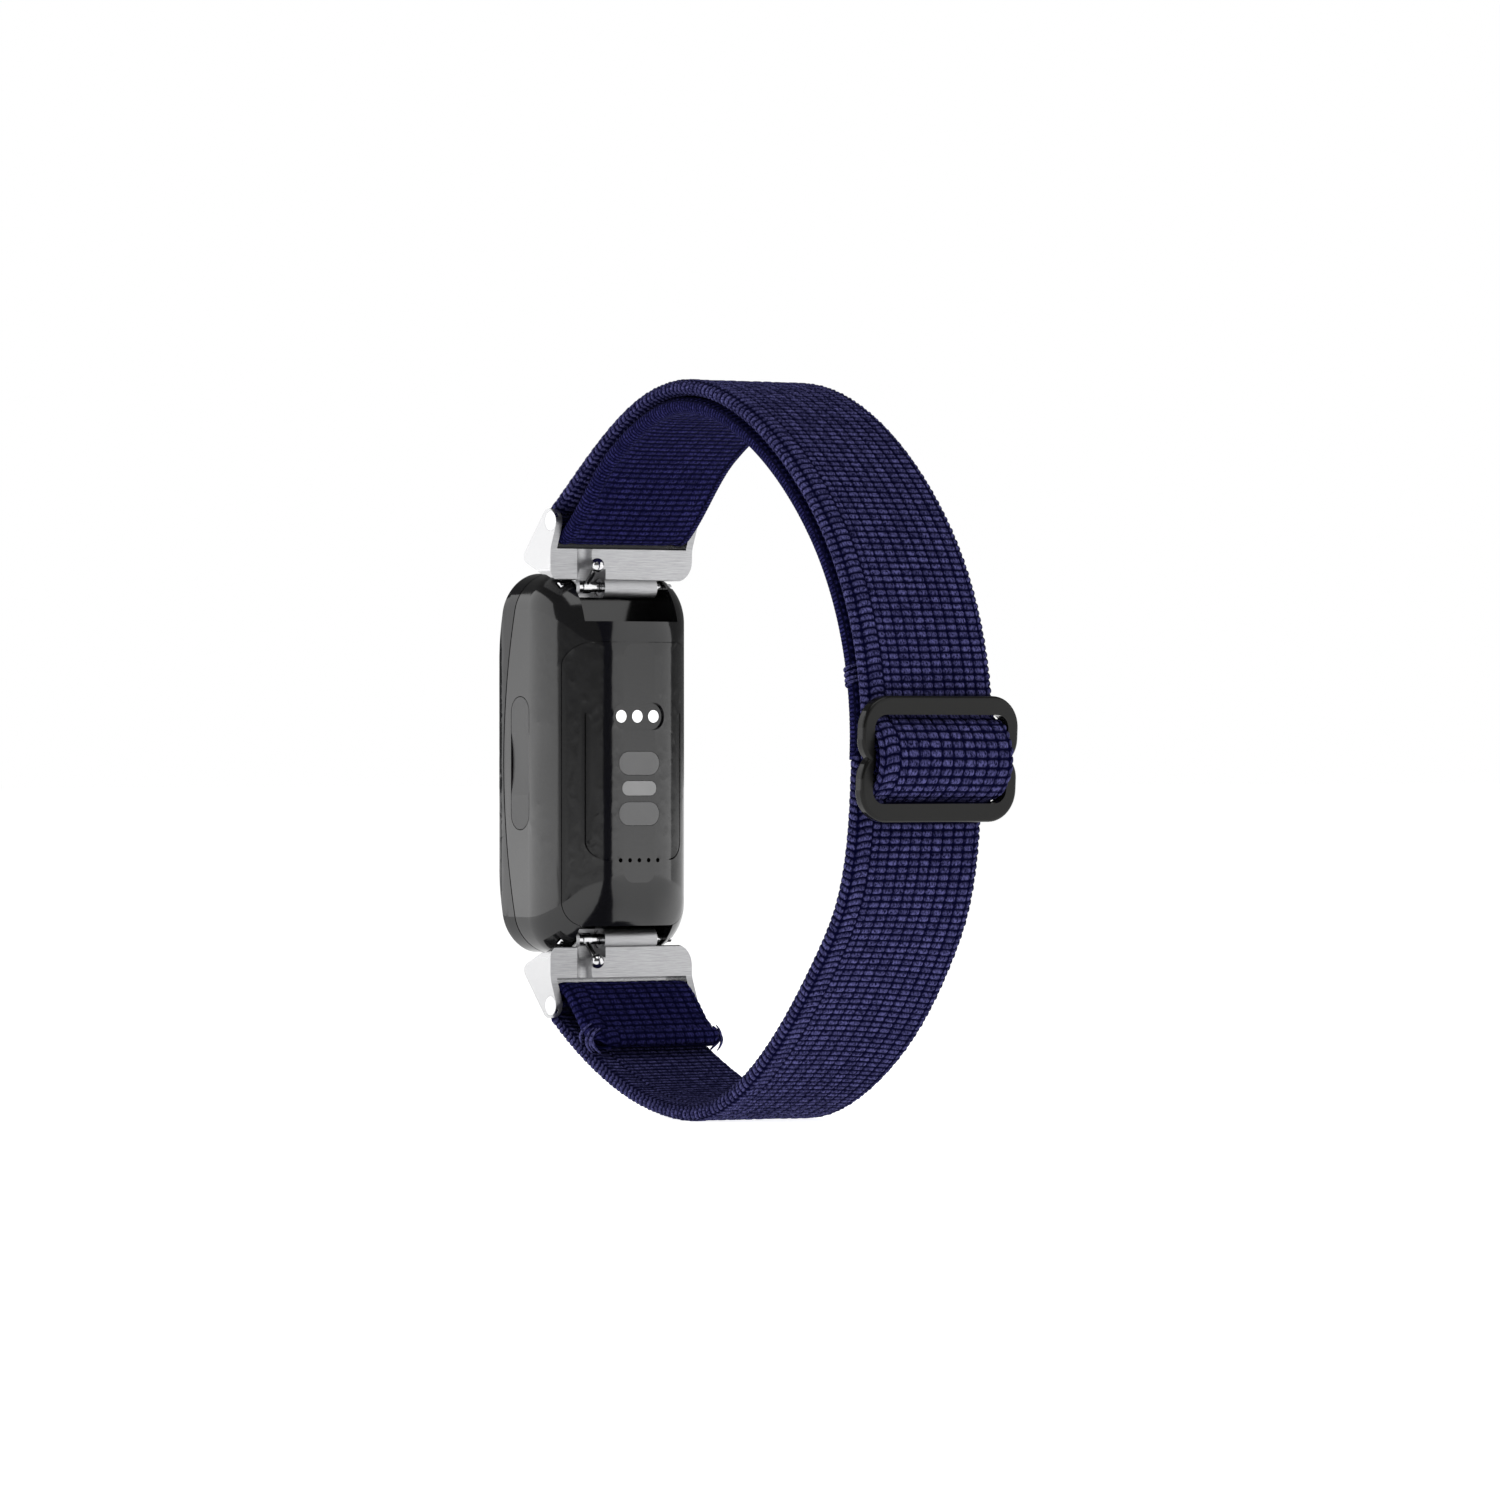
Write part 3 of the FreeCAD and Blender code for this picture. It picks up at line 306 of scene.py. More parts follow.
def metal_finish(name, dark, light, roughness, spread, stretch, scratch, polish=None):
    """Metal with drawn or turned scratches; stretch is the noise scale along X, Y, Z.

    Where polish is given as a colour, faces that look away from the Y axis are polished to it.
    """
    material = bpy.data.materials.new(name)
    material.use_nodes = True
    tree = material.node_tree
    shader = tree.nodes["Principled BSDF"]
    surface = put(tree, "ShaderNodeGroup", node_tree=brushed)
    surface.inputs["Stretch"].default_value = stretch
    surface.inputs["Roughness"].default_value = roughness
    surface.inputs["Spread"].default_value = spread
    tone = put(tree, "ShaderNodeMixRGB", {0: surface.outputs["Tone"],
                                          1: (*dark, 1.0), 2: (*light, 1.0)})
    rough = surface.outputs["Roughness"]
    if polish:
        facing = put(tree, "ShaderNodeSeparateXYZ",
                     {0: put(tree, "ShaderNodeTexCoord").outputs["Normal"]})
        along_y = put(tree, "ShaderNodeMath", {0: facing.outputs["Y"]}, operation="ABSOLUTE")
        polished = put(tree, "ShaderNodeMapRange", {"Value": along_y.outputs[0], "From Min": 0.75,
                                                    "From Max": 0.35})
        tone = put(tree, "ShaderNodeMixRGB", {0: polished.outputs[0], 1: tone.outputs[0],
                                              2: (*polish, 1.0)})
        smooth = put(tree, "ShaderNodeMapRange", {"Value": polished.outputs[0], "To Min": 1.0,
                                                  "To Max": 0.35})
        rough = put(tree, "ShaderNodeMath", {0: rough, 1: smooth.outputs[0]},
                    operation="MULTIPLY").outputs[0]
    bump = put(tree, "ShaderNodeBump", {"Strength": 1.0, "Distance": scratch,
                                        "Height": surface.outputs["Line"]})
    tree.links.new(tone.outputs[0], shader.inputs["Base Color"])
    tree.links.new(rough, shader.inputs["Roughness"])
    tree.links.new(bump.outputs["Normal"], shader.inputs["Normal"])
    shader.inputs["Metallic"].default_value = 1.0
    return material


brushed_steel = metal_finish("brushed_steel", (0.10, 0.10, 0.105), (0.60, 0.60, 0.61),
                             0.30, 0.20, (500.0, 16000.0, 16000.0), 0.006 * MM,
                             polish=(0.42, 0.42, 0.425))
turned_steel = metal_finish("turned_steel", (0.42, 0.42, 0.43), (0.74, 0.74, 0.75),
                            0.10, 0.12, (9000.0, 500.0, 500.0), 0.001 * MM)
gilded = metal_finish("contact_plating", (0.66, 0.66, 0.66), (0.84, 0.84, 0.84),
                      0.16, 0.10, (5000.0, 5000.0, 5000.0), 0.001 * MM)
for end in ("upper", "lower"):
    finish_node(end + "_connector", brushed_steel)
    for piece in ("strap_pin", "spring_bar_tube", "release_pin", "bar_spring"):
        finish_node(end + "_" + piece, turned_steel)
finish_node("charge_contacts", gilded)

# Inside the case: painted board, epoxy chips, foil cell, steel motor and clear films.
inside = {
    "circuit_board": ("solder_mask", (0.004, 0.045, 0.020), (0.008, 0.075, 0.034), 0.35, "board"),
    "sensor_board": ("solder_mask_black", (0.006, 0.006, 0.007), (0.016, 0.016, 0.018), 0.4,
                     "board"),
    "board_chips": ("chip_epoxy", (0.010, 0.010, 0.011), (0.022, 0.022, 0.024), 0.5, "chip"),
    "display_panel": ("display_stack", (0.010, 0.012, 0.020), (0.016, 0.018, 0.028), 0.2,
                      "display"),
    "display_flex": ("ribbon_film", (0.20, 0.085, 0.012), (0.28, 0.12, 0.02), 0.3, "flex_film"),
    "button_switches": ("switch_film", (0.20, 0.085, 0.012), (0.30, 0.14, 0.03), 0.3,
                        "flex_film"),
    "photodiodes": ("diode_die", (0.012, 0.014, 0.030), (0.03, 0.035, 0.06), 0.2, "led"),
    "led_package": ("lamp_die", (0.55, 0.60, 0.30), (0.70, 0.74, 0.40), 0.35, "led"),
    "battery_cell": ("cell_pouch", (0.45, 0.46, 0.48), (0.60, 0.61, 0.63), 0.3, "battery_foil"),
}
for node, (name, dark, light, roughness, slot) in inside.items():
    finish_node(node, moulded_finish(name, dark, light, roughness, 0.2, 4000.0, 0.003 * MM))
finish_node("vibration_motor", turned_steel)


# ---------------------------------------------------------------- webbing
# One length of elastic navy webbing: rows of square yarn floats in nine columns, and along
# its near edge the looped selvedge of a needle loom.  From the folded tail at the lower pin
# it runs outside round the loop to the slider, and from there back up inside, round the
# upper pin and down the outside again.
WEBBING_WIDTH = 15.0 * MM
WEBBING_THICK = 1.6 * MM
ROW = 0.70 * MM             # pitch of the rows along the strap
RIB = 0.39 * MM             # pitch of the binding on the inner layer's edge
RELIEF = 0.24 * MM          # depth of the woven surface
SOFT_RELIEF = 0.13 * MM
EYE_OUTER = 2.3 * MM
EYE_SLOPE = math.radians(37.0)
CLOSING = 11.0 * MM         # length in which two layers close up behind a pin
LAYER_GAP = 0.15 * MM
CROWN_Y = -5.3 * MM
BASE_Y = -4.3 * MM
SIDE_SWEEP = math.radians(38.0)
TAIL = 8.5 * MM
HEM_EXTRA = 0.7 * MM
HEM_LENGTH = 2.6 * MM
HEM_RAMP = 1.2 * MM
HEM_ROUND = 1.1 * MM        # the folded end is rounded over this length
LAYER_STEP = 1.55 * MM      # below the slider the band lies this much nearer the wrist
STEP_FADE = 17.0 * MM
FAR_FLARE = 1.3 * MM        # the far edge stands out on the lower curve
FLARE_AT = 27.0 * MM
FLARE_LENGTH = 13.0 * MM

upper_pin = np.array(joints["strap_pivot"]["pos_m"][1:])
lower_low, lower_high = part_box("lower_strap_pin")
lower_pin = np.array([(lower_low.y + lower_high.y) / 2, (lower_low.z + lower_high.z) / 2])
arc_centre = np.array(joints["slider_adjust"]["pos_m"][1:])
band_low, band_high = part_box("strap_outer_band")
arc_radius = band_high.y - arc_centre[0]


def cubic(start, start_way, end, end_way, count=160):
    """Points of a cubic that leaves along start_way and arrives along end_way.

    Its handles are a third of the chord.
    """
    handle = np.hypot(*(end - start)) / 3
    b = start + handle * start_way
    c = end - handle * end_way
    t = np.linspace(0, 1, count)[:, None]
    return (1 - t) ** 3 * start + 3 * (1 - t) ** 2 * t * b + 3 * (1 - t) * t * t * c + t ** 3 * end


def band_line():
    """Outer face of the band as (y, z): upper pin, crown, side arc, base, lower pin."""
    out = np.array([math.cos(EYE_SLOPE), math.sin(EYE_SLOPE)])
    top_eye = upper_pin + EYE_OUTER * np.array([-out[1], out[0]])
    low_eye = lower_pin + EYE_OUTER * np.array([-out[1], -out[0]])
    crown = np.array([CROWN_Y, band_high.z])
    base = np.array([BASE_Y, band_low.z])
    angle = np.linspace(SIDE_SWEEP, -SIDE_SWEEP, 320)
    arc = arc_centre + arc_radius * np.stack([np.cos(angle), np.sin(angle)], 1)
    down = np.array([math.sin(SIDE_SWEEP), -math.cos(SIDE_SWEEP)])
    stretches = [cubic(top_eye, out, crown, np.array([1.0, 0.0])),
                 cubic(crown, np.array([1.0, 0.0]), arc[0], down), arc,
                 cubic(arc[-1], down * (-1, 1), base, np.array([-1.0, 0.0])),
                 cubic(base, np.array([-1.0, 0.0]), low_eye, out * (-1, 1))]
    return np.concatenate([stretches[0]] + [s[1:] for s in stretches[1:]])


def travelled(line):
    """Distance along a line at each of its points."""
    return np.concatenate([[0.0], np.cumsum(np.hypot(*np.diff(line, axis=0).T))])


def headings(line):
    """Unit direction of travel at each point of a line."""
    way = np.gradient(line, axis=0)
    return way / np.hypot(*way.T)[:, None]


def sunk(line, depth):
    """The line set in by depth to the right of its direction of travel."""
    way = headings(line)
    return line + np.stack([way[:, 1], -way[:, 0]], 1) * np.broadcast_to(depth, len(line))[:, None]


def eased(share):
    """Smooth step from 0 to 1."""
    share = np.clip(share, 0, 1)
    return share * share * (3 - 2 * share)


def section(face_points, edge_points, back_points):
    """Where the points of one ring lie round the webbing.

    flat runs from -1 to 1 across it, angle from 0 on the face to pi on the back, and edge
    is the side that the point is on.
    """
    face = np.linspace(-1, 1, face_points)
    back = np.linspace(1, -1, back_points)
    round_edge = np.linspace(0, math.pi, edge_points + 2)[1:-1]
    flat = np.concatenate([face, np.ones(edge_points), back, -np.ones(edge_points)])
    angle = np.concatenate([face * 0, round_edge, back * 0 + math.pi, round_edge[::-1]])
    edge = np.concatenate([np.sign(face), np.ones(edge_points), np.sign(back),
                           -np.ones(edge_points)])
    return flat, angle, edge


def looped_cells(around, along):
    """Cell numbers across and along, and height 0 to 1, on a side with the looped selvedge.

    Cells are numbered by straight lines between the edges of the columns: nine even floats,
    a narrow one, and the two rows of selvedge loops, which slant and meet in a V.  A cell
    rises as one minus a high power of the distance from its middle, each way.
    """
    edges = np.array([-9.4, -8.4, -7.25, -6.57, 4.38, 5.16, 6.98, 8.6, 9.4]) * MM
    across = np.interp(around, edges, [-3, -2, -1, 0, 9, 10, 11, 12, 13])
    arc = 1 - (2 * (across % 1) - 1) ** 2
    slant = np.where(across > 11, 0.45 * (across - 11), 0.40 * (11 - across) + 0.22 * arc)
    slant = np.where(across > 10, slant, np.where(across < 0, -0.3 * across, 0.0))
    sway = 0.05 * np.sin(along / (7.3 * MM) + around / (3.1 * MM))
    rows = along / ROW + slant + sway
    height = (1 - np.abs(2 * (across % 1) - 1) ** 6) * (1 - np.abs(2 * (rows % 1) - 1) ** 3)
    swell = np.where(across > 10, 1.0, 0.85)
    pull = 0.10 * np.sin(3.7 * np.floor(rows) + 5.3 * np.floor(across))
    return across, rows, np.clip(height * (swell + pull), 0, 1)


def bound_cells(around, along):
    """The same for the inner layer, whose edges are bound by a fine-ribbed cord.

    Its floats are shallower, and a plain strip lies between them and the cord.
    """
    edge = 6.45 * MM
    across = around / (1.2 * MM) + 20.5
    side = np.abs(around)
    rows = np.where(side < edge, along / ROW, along / RIB)
    rows = rows + 0.06 * np.sin(along / (6.1 * MM) + around / (2.3 * MM))
    cell = 1 - np.abs(2 * (across % 1) - 1) ** 6
    rib = 1 - np.abs(2 * (rows % 1) - 1) ** 2
    plain = eased((side - 5.5 * MM) / (0.25 * MM))
    floats = 0.75 * cell * rib * (1 - plain)
    height = np.where(side < edge, floats, 0.75 + 0.25 * rib)
    across = np.where(side < edge, across, np.sign(around) * 40 + 0.5)
    return across, rows, np.clip(height, 0, 1)


def mesh_piece(name, points, faces, body, material, uvs=None, soft=None):
    """A closed smooth piece from points and faces, in its place, with its UV maps by name."""
    mesh = bpy.data.meshes.new(name)
    mesh.from_pydata(points.tolist(), [], faces)
    mesh.polygons.foreach_set("use_smooth", np.ones(len(faces), bool))
    piece = bpy.data.objects.new(name, mesh)
    bpy.context.scene.collection.objects.link(piece)
    for title, uv in (uvs or {}).items():
        layer = mesh.uv_layers.new(name=title)
        corners = np.zeros(len(mesh.loops), np.int32)
        mesh.loops.foreach_get("vertex_index", corners)
        layer.data.foreach_set("uv", uv[corners].astype(np.float32).ravel())
    if soft is not None:
        mesh.attributes.new("soft", "FLOAT", "POINT").data.foreach_set(
            "value", soft.astype(np.float32))
    mesh.materials.append(material)
    if body:
        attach(piece, body)
    return piece


def ring_faces(rings, around):
    """Quads between rings of points, closed round, with a cap at each end."""
    i = np.arange(rings - 1)[:, None] * around
    j = np.arange(around)[None, :]
    k = (j + 1) % around
    quads = np.stack([i + j, i + k, i + around + k, i + around + j], 2).reshape(-1, 4)
    first = list(range(around))
    last = [(rings - 1) * around + n for n in range(around)]
    return quads.tolist() + [first[::-1], last]


def webbing(name, line, thick, start, material, body="strap", width=WEBBING_WIDTH,
            face=looped_cells, back=looped_cells, points=(79, 9, 45), relief=RELIEF,
            soft_face=0.0, stretch=1.0, flare=0.0):
    """Webbing whose outer face follows the line, as rings sunk by the woven relief.

    thick is the thickness at each point of the line, start the distance along the strap at
    the first, stretch how far the weave is pulled out lengthways, and flare how far the far
    edge stands out from the line, growing as the square of the distance across.
    """
    flat, angle, edge = section(*points)
    way = headings(line)
    along = (start + travelled(line) / stretch)[:, None]
    half = (thick / 2)[:, None]
    reach = np.broadcast_to(width / 2, len(line))[:, None] - half
    x = flat * reach + edge * half * np.sin(angle)
    depth = half * (1 - np.cos(angle))
    flat_reach = WEBBING_WIDTH / 2 - WEBBING_THICK / 2
    around = flat * flat_reach + edge * angle * WEBBING_THICK / 2
    behind = flat * flat_reach + edge * (math.pi - angle) * WEBBING_THICK / 2
    turned = eased((angle / math.pi - 0.70) / 0.08)
    front_across, front_rows, front = face(around, along)
    rear_across, rear_rows, rear = back(behind, along)
    height = front * (1 - turned) + rear * turned
    drop = (1 - height) * (relief * (1 - turned) + SOFT_RELIEF * turned)
    x = x - drop * edge * np.sin(angle)
    depth = depth + drop * np.cos(angle)
    far = np.clip(0.5 - x / (2 * (reach + half)), 0, 1)
    depth = depth - np.broadcast_to(flare, len(line))[:, None] * far ** 2
    y = line[:, :1] + way[:, 1:] * depth
    z = line[:, 1:] - way[:, :1] * depth
    rings, count = x.shape
    cloud = np.stack([x, y, z], 2).reshape(-1, 3)
    rear_side = np.broadcast_to(turned > 0.5, x.shape)
    cells = np.stack([np.where(rear_side, rear_across, front_across),
                      np.where(rear_side, rear_rows, front_rows)], 2)
    place = np.stack([np.where(rear_side, behind + 0.04, around) / MM,
                      np.broadcast_to(along, x.shape) / MM], 2)
    soft = np.broadcast_to(soft_face + (1 - soft_face) * turned, x.shape)
    return mesh_piece(name, cloud, ring_faces(rings, count), body, material,
                      {"weave": place.reshape(-1, 2), "cells": cells.reshape(-1, 2)},
                      soft.ravel())


def spaced(line, step):
    """The line again with its points step apart."""
    run = travelled(line)
    count = max(int(round(run[-1] / step)), 2)
    at = np.linspace(0, run[-1], count + 1)
    return np.stack([np.interp(at, run, line[:, 0]), np.interp(at, run, line[:, 1])], 1)


def yarn_group():
    """Spun yarn in woven cells: fibre texture with painted highlights on each float's fibres,
    and painted shade in the crevices between the floats.

    The distance from a cell's middle, raised to a high power across the strap and a lower
    one along it, gives the painted dark line of shade round each float.
    """
    tree, given, out = new_group(
        "yarn", {"Soft": "float", "Light": "colour", "Dark": "colour"},
        {"Colour": "colour", "Height": "float", "Roughness": "float"})
    place = put(tree, "ShaderNodeUVMap", uv_map="weave").outputs["UV"]
    cells = put(tree, "ShaderNodeUVMap", uv_map="cells").outputs["UV"]
    part = put(tree, "ShaderNodeVectorMath", {0: cells}, operation="FRACTION")
    centred = put(tree, "ShaderNodeVectorMath", {0: part.outputs[0], 1: (2.0, 2.0, 0.0),
                                                 2: (-1.0, -1.0, 0.0)}, operation="MULTIPLY_ADD")
    off = put(tree, "ShaderNodeVectorMath", {0: centred.outputs[0]}, operation="ABSOLUTE")
    sides = put(tree, "ShaderNodeSeparateXYZ", {0: off.outputs[0]})
    fade = put(tree, "ShaderNodeMapRange", {"Value": given.outputs["Soft"], "To Min": 2.2,
                                            "To Max": 1.5})
    parting = put(tree, "ShaderNodeMapRange", {"Value": given.outputs["Soft"], "To Min": 0.85,
                                               "To Max": 0.45})
    narrow = put(tree, "ShaderNodeMath", {0: sides.outputs["X"], 1: 4.5}, operation="POWER")
    wide = put(tree, "ShaderNodeMath", {0: narrow.outputs[0], 1: parting.outputs[0]},
               operation="MULTIPLY")
    tall = put(tree, "ShaderNodeMath", {0: sides.outputs["Y"], 1: fade.outputs[0]},
               operation="POWER")
    rim = put(tree, "ShaderNodeMath", {0: wide.outputs[0], 1: tall.outputs[0]}, operation="ADD")
    # top falls from 1 on a float to 0 at its rim, where the colour goes to Dark: painted shade
    # between the floats.
    top = put(tree, "ShaderNodeMapRange", {"Value": rim.outputs[0], "From Min": 0.08,
                                           "From Max": 0.80, "To Min": 1.0, "To Max": 0.0},
              interpolation_type="SMOOTHSTEP")
    number = put(tree, "ShaderNodeVectorMath", {0: cells}, operation="FLOOR")
    draw = put(tree, "ShaderNodeTexWhiteNoise", {"Vector": number.outputs[0]},
               noise_dimensions="2D")
    tone = put(tree, "ShaderNodeMapRange", {"Value": draw.outputs["Value"], "To Min": 0.62,
                                            "To Max": 1.15})
    fine = put(tree, "ShaderNodeMapping", {"Vector": place, "Scale": (5.0, 2.6, 1.0),
                                           "Rotation": (0.0, 0.0, 0.35)})
    fibre = put(tree, "ShaderNodeTexNoise", {"Vector": fine.outputs[0], "Scale": 1.0,
                                             "Detail": 3.0, "Roughness": 0.7})
    patch = put(tree, "ShaderNodeTexNoise", {"Vector": place, "Scale": 0.9, "Detail": 3.0})
    # lit lifts the float's colour with its fibres, up to 1.3 times: fibre texture plus painted
    # highlights on the fibres.
    lit = put(tree, "ShaderNodeMapRange", {"Value": fibre.outputs["Fac"], "From Min": 0.38,
                                           "From Max": 0.66, "To Min": 0.0, "To Max": 1.30})
    worn = put(tree, "ShaderNodeMapRange", {"Value": patch.outputs["Fac"], "From Min": 0.3,
                                            "From Max": 0.7, "To Min": 0.82, "To Max": 1.12})
    both = put(tree, "ShaderNodeMath", {0: top.outputs[0], 1: lit.outputs[0]},
               operation="MULTIPLY")
    drawn = put(tree, "ShaderNodeMath", {0: both.outputs[0], 1: tone.outputs[0]},
                operation="MULTIPLY")
    share = put(tree, "ShaderNodeMath", {0: drawn.outputs[0], 1: worn.outputs[0]},
                operation="MULTIPLY", use_clamp=True)
    colour = put(tree, "ShaderNodeMixRGB", {0: share.outputs[0], 1: given.outputs["Dark"],
                                            2: given.outputs["Light"]})
    rough = put(tree, "ShaderNodeMapRange", {"Value": share.outputs[0], "To Min": 0.98,
                                             "To Max": 0.72})
    raised = put(tree, "ShaderNodeMath", {0: fibre.outputs["Fac"], 1: 0.45, 2: top.outputs[0]},
                 operation="MULTIPLY_ADD")
    tree.links.new(colour.outputs[0], out.inputs["Colour"])
    tree.links.new(raised.outputs[0], out.inputs["Height"])
    tree.links.new(rough.outputs[0], out.inputs["Roughness"])
    return tree


yarn = yarn_group()


def yarn_finish(name, dark, light):
    """Navy elastic yarn, with painted shade between its floats and painted highlights on its
    fibres.
    """
    material = bpy.data.materials.new(name)
    material.use_nodes = True
    tree = material.node_tree
    shader = tree.nodes["Principled BSDF"]
    soft = put(tree, "ShaderNodeAttribute", attribute_name="soft")
    surface = put(tree, "ShaderNodeGroup", {"Soft": soft.outputs["Fac"]}, node_tree=yarn)
    surface.inputs["Dark"].default_value = (*dark, 1.0)
    surface.inputs["Light"].default_value = (*light, 1.0)
    bump = put(tree, "ShaderNodeBump", {"Strength": 1.0, "Distance": 0.07 * MM,
                                        "Height": surface.outputs["Height"]})
    tree.links.new(surface.outputs["Colour"], shader.inputs["Base Color"])
    tree.links.new(surface.outputs["Roughness"], shader.inputs["Roughness"])
    tree.links.new(bump.outputs["Normal"], shader.inputs["Normal"])
    shader.inputs["Specular IOR Level"].default_value = 0.06
    return material


# Dark is the painted shade in the crevices between the floats, and Light the float's navy with its
# painted fibre highlights.
outer_yarn = yarn_finish("navy_outer_yarn", (0.0002, 0.0003, 0.0150), (0.080, 0.078, 0.215))
# The inner yarn is the outer yarn's navy with a much darker Light colour: painted shade on the
# band's inside, the folded tail and the sewn loop.
shade_painted_inner_yarn = yarn_finish("navy_shade_painted_inner_yarn", (0.0002, 0.0003, 0.0150), (0.024, 0.023, 0.115))

whole = band_line()
run = travelled(whole)
length = run[-1]
step = ROW / 5
slider_low, slider_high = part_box("slider_buckle")
slider_z = (slider_low.z + slider_high.z) / 2
# The band is split where it goes down past the slider's middle, beyond its rise at the eye.
RISE_POINTS = 40
DOWNWARD = 0.6              # share of the band's length that holds the crown and the slider
downward = np.flatnonzero(run < length * DOWNWARD)[RISE_POINTS:]
split = np.interp(-slider_z, -whole[downward, 1], run[downward])
band = spaced(whole, step)
band_run = travelled(band)
PIN_ROOM = 0.7 * MM         # pin and clearance inside the upper eye
OPEN_PIN_ROOM = 1.0 * MM    # the lower eye is looser
thin_low = EYE_OUTER - OPEN_PIN_ROOM
band_thick = WEBBING_THICK + (thin_low - WEBBING_THICK) * eased(1 - (length - band_run) / CLOSING)

upper = band_run < split
outer_upper = webbing("webbing_outer_upper", band[upper], band_thick[upper], 0.0, outer_yarn,
                      body=None, points=(79, 9, 13))
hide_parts("strap_outer_band")
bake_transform(outer_upper)
lower = band_run > split - step * 1.5
past = band_run[lower] - split
step_in = LAYER_STEP * (1 - eased(past / STEP_FADE))
swell = FAR_FLARE * np.exp(-((past - FLARE_AT) / FLARE_LENGTH) ** 2)
outer_lower = webbing("webbing_outer_lower", sunk(band[lower], step_in), band_thick[lower],
                      band_run[lower][0], outer_yarn, body=None, points=(79, 9, 45),
                      flare=swell)
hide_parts("strap_outer_band")
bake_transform(outer_lower)


def half_turn(pin, first_angle):
    """Outer face of the webbing round a pin, clockwise through half a turn."""
    angle = first_angle - np.linspace(0, math.pi, 90)
    return pin + EYE_OUTER * np.stack([np.cos(angle), np.sin(angle)], 1)


# Inner layer: from the slider's bar up the inside and round the upper pin.
LAYER_LAP = 0.3 * MM        # the inner layer runs on past the slider's middle
inside_gap = LAYER_GAP + (2 * PIN_ROOM - LAYER_GAP) * (1 - eased(band_run / CLOSING))
wrist_side = sunk(band, 2 * band_thick + inside_gap)
layer_end = split + LAYER_LAP
up_inside = wrist_side[band_run < layer_end][::-1]
turned = half_turn(upper_pin, EYE_SLOPE - math.pi / 2)
inner_line = spaced(np.concatenate([up_inside[:-1], turned]), step)
inner_layer = webbing("webbing_inner_layer", inner_line,
                      np.full(len(inner_line), WEBBING_THICK), 0.0, shade_painted_inner_yarn, body=None,
                      points=(79, 11, 13), face=bound_cells, relief=SOFT_RELIEF, soft_face=0.8)
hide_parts("strap_inner_layer", "strap_upper_eye")
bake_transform(inner_layer)

# Folded tail: round the lower pin and back along the inside to a turned-under hem.
back_run = length - band_run
tail_gap = LAYER_GAP + (2 * OPEN_PIN_ROOM - LAYER_GAP) * (1 - eased(back_run / TAIL))
hem = HEM_EXTRA * eased((back_run - TAIL + HEM_LENGTH) / HEM_RAMP)
tail_side = sunk(band, 2 * band_thick + tail_gap + hem)
keep_tail = back_run < TAIL
turned = half_turn(lower_pin, 1.5 * math.pi - EYE_SLOPE)
tail_line = np.concatenate([turned, tail_side[keep_tail][::-1][1:]])
tail_line = spaced(tail_line, step)
tail_run = travelled(tail_line)
after_turn = tail_run - math.pi * EYE_OUTER
tail_thick = thin_low + (WEBBING_THICK - thin_low) * eased(after_turn / TAIL)
tail_thick = tail_thick + HEM_EXTRA * eased((after_turn - TAIL + HEM_LENGTH) / HEM_RAMP)
to_end = np.clip(1 - (tail_run[-1] - tail_run) / HEM_ROUND, 0, 0.995)
rounding = tail_thick * (1 - np.sqrt(1 - to_end ** 2)) / 2
tail_line = sunk(tail_line, rounding)
tail_thick = tail_thick - 2 * rounding
tail = webbing("webbing_folded_tail", tail_line, tail_thick, length, shade_painted_inner_yarn,
               width=WEBBING_WIDTH - 2 * rounding, points=(79, 11, 25), relief=SOFT_RELIEF,
               soft_face=0.3)
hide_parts("strap_lower_eye", "strap_lower_tail")


def stitch_row(starts, ends, lift, thread):
    """Points and faces of a row of stitches, each a thread that bows between two points.

    Along a stitch the thread rises as a parabola towards lift, and thins at both ends.
    """
    share = np.linspace(0, 1, 9)
    turn = np.linspace(0, 2 * math.pi, 8, endpoint=False)
    way = ends - starts
    side = np.cross(lift, way)
    side = side / np.linalg.norm(side, axis=1)[:, None]
    up = np.cross(way, side)
    up = up / np.linalg.norm(up, axis=1)[:, None]
    bow = 4 * share * (1 - share)
    middle = (starts[:, None] + way[:, None] * share[None, :, None]
              + lift[:, None] * bow[None, :, None])
    radius = thread * np.sqrt(0.25 + 0.75 * bow)
    ring = (side[:, None] * np.cos(turn)[None, :, None]
            + up[:, None] * np.sin(turn)[None, :, None])
    cloud = middle[:, :, None] + ring[:, None] * radius[None, :, None, None]
    faces = []
    for n in range(len(starts)):
        base = n * len(share) * len(turn)
        faces += [[base + v for v in face] for face in ring_faces(len(share), len(turn))]
    return cloud.reshape(-1, 3), faces


def tack(name, line, depth, places, reach, body, thread=0.17 * MM):
    """Whip stitches round both edges of a layer, at places along its line."""
    way = headings(line)
    normal = np.stack([way[:, 1], -way[:, 0]], 1)
    at = np.interp(places, travelled(line), np.arange(len(line)))
    index = np.rint(at).astype(int)
    top = line[index] - normal[index] * thread / 2
    low = line[index] + normal[index] * (depth + thread / 2)
    slant = way[index] * thread * 1.5
    edge = np.repeat([1.0, -1.0], len(index))
    starts = np.column_stack([edge * reach, np.tile(top - slant, (2, 1))])
    ends = np.column_stack([edge * reach, np.tile(low + slant, (2, 1))])
    lift = np.zeros_like(starts)
    lift[:, 0] = edge * (WEBBING_WIDTH / 2 - reach + thread)
    cloud, faces = stitch_row(starts, ends, lift, thread)
    twist = np.stack([cloud[:, 0], cloud[:, 2]], 1) / MM
    return mesh_piece(name, cloud, faces, body, outer_yarn,
                      {"weave": twist, "cells": np.full((len(cloud), 2), 0.5)},
                      np.zeros(len(cloud)))


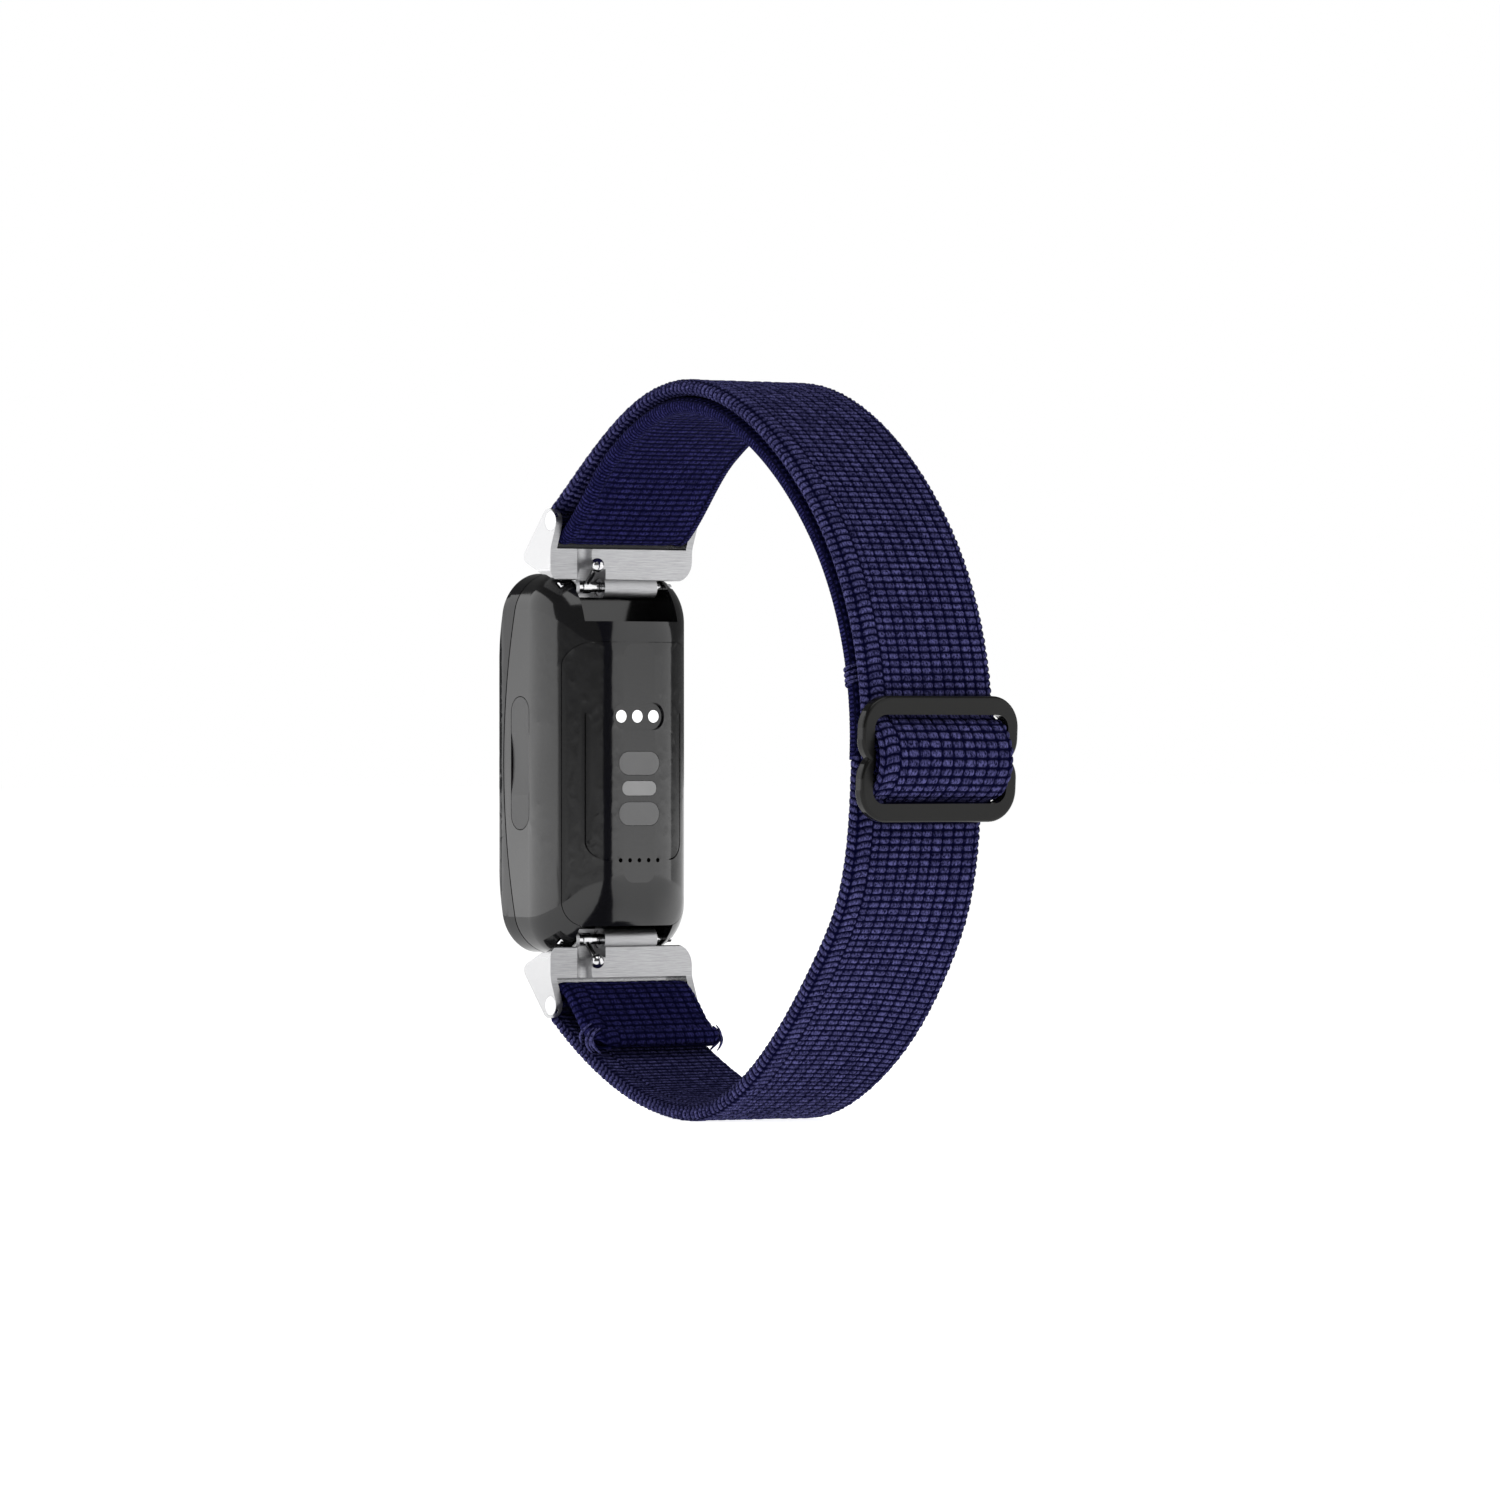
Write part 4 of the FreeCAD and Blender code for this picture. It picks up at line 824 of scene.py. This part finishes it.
# Whip stitches close the layers above the slider and hold the folded tail's end.
TACK_REACH = 6.9 * MM       # where the thread goes through, from the middle line
TACK_STITCHES = 4
TACK_PITCH = 0.55 * MM
TACK_ABOVE = 9.0 * MM       # from the slider's middle up to the first stitch
wrist_run = travelled(wrist_side)
along = np.interp(split - TACK_ABOVE + np.arange(TACK_STITCHES) * TACK_PITCH, band_run, wrist_run)
layer_tack = tack("thread_layer_tack", wrist_side[::-1], WEBBING_THICK, wrist_run[-1] - along,
                  TACK_REACH, None)
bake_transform(layer_tack)
tack("thread_tail_tack", tail_line, WEBBING_THICK + HEM_EXTRA,
     tail_run[-1] - HEM_ROUND - np.arange(TACK_STITCHES) * TACK_PITCH, TACK_REACH, "strap")


# ---------------------------------------------------------------- slider
# Three-bar slider in black satin-coated steel.  The webbing bows over its centre bar, and
# the end of the inner layer is sewn round that bar.
black_coat = moulded_finish("black_satin_coat", (0.005, 0.005, 0.0047), (0.009, 0.009, 0.0085),
                            0.30, 0.10, 5200.0, 0.0015 * MM, rim=0.25)
black_coat.node_tree.nodes["Principled BSDF"].inputs["Specular IOR Level"].default_value = 0.17
finish_node("slider_buckle", black_coat)

hump_low, hump_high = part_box("strap_slider_hump")
SLIDER_ANGLE = math.radians(-3.4)
HUMP_THICK = 0.95 * MM
HUMP_HALF = 4.0 * MM
HUMP_RISE = 2.73 * MM
HUMP_FOOT = 0.5 * MM        # the webbing tucks in at its feet by this corner
HUMP_SPREAD = 0.35 * MM     # and spreads to fill the slot at each side
HUMP_STRETCH = 1.32
FOOT_GAP = 0.12 * MM
FOOT_REACH = 0.5 * MM       # each foot runs on behind a bar of the slider
FOOT_DROP = 0.25 * MM
hump_radius = (HUMP_HALF ** 2 + HUMP_RISE ** 2) / (2 * HUMP_RISE)
sweep = math.asin(HUMP_HALF / hump_radius)
angle = np.linspace(sweep, -sweep, 200)
hump_centre = arc_centre + np.array([arc_radius + FOOT_GAP + HUMP_RISE - hump_radius, 0.0])
hump_line = hump_centre + hump_radius * np.stack([np.cos(angle), np.sin(angle)], 1)
under_bar = hump_line[[0, -1]] + np.array([[-FOOT_DROP, FOOT_REACH], [-FOOT_DROP, -FOOT_REACH]])
hump_line = np.concatenate([under_bar[:1], hump_line, under_bar[1:]])
round_slider = np.array([[math.cos(SLIDER_ANGLE), math.sin(SLIDER_ANGLE)],
                         [-math.sin(SLIDER_ANGLE), math.cos(SLIDER_ANGLE)]])
hump_line = (hump_line - arc_centre) @ round_slider + arc_centre
hump_line = spaced(hump_line, ROW / 8)
foot = HUMP_FOOT - (HUMP_HALF - np.abs(hump_line[:, 1] - slider_z))
tucked = HUMP_FOOT - np.sqrt(HUMP_FOOT ** 2 - np.clip(foot, 0, HUMP_FOOT * 0.98) ** 2)
hump = webbing("webbing_hump", hump_line, np.full(len(hump_line), HUMP_THICK), 0.0, outer_yarn,
               body="slider", width=hump_high.x - hump_low.x + 2 * (HUMP_SPREAD - tucked),
               points=(91, 11, 25), stretch=HUMP_STRETCH)
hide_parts("strap_slider_hump")

loop_low, loop_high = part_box("strap_slider_loop")
LOOP_THICK = 0.6 * MM
BAR_HALF = 0.85 * MM
bar_top = 0.83 * MM
corner = LOOP_THICK
left = arc_radius + FOOT_GAP
quarter = np.linspace(0, math.pi / 2, 20)
over = np.concatenate([
    [[left, BAR_HALF + corner]],
    np.stack([left + bar_top - 0.09 * MM + corner * np.sin(quarter),
              BAR_HALF + corner * np.cos(quarter)], 1)])
loop_line = np.concatenate([over, over[::-1] * (1, -1)])
loop_line = loop_line @ round_slider + arc_centre
loop_line = spaced(loop_line, ROW / 6)
sewn_loop = webbing("webbing_sewn_loop", loop_line, np.full(len(loop_line), LOOP_THICK), 0.0,
                    shade_painted_inner_yarn, body="slider", width=loop_high.x - loop_low.x,
                    points=(61, 7, 25), relief=SOFT_RELIEF, soft_face=0.6)
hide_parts("strap_slider_loop")
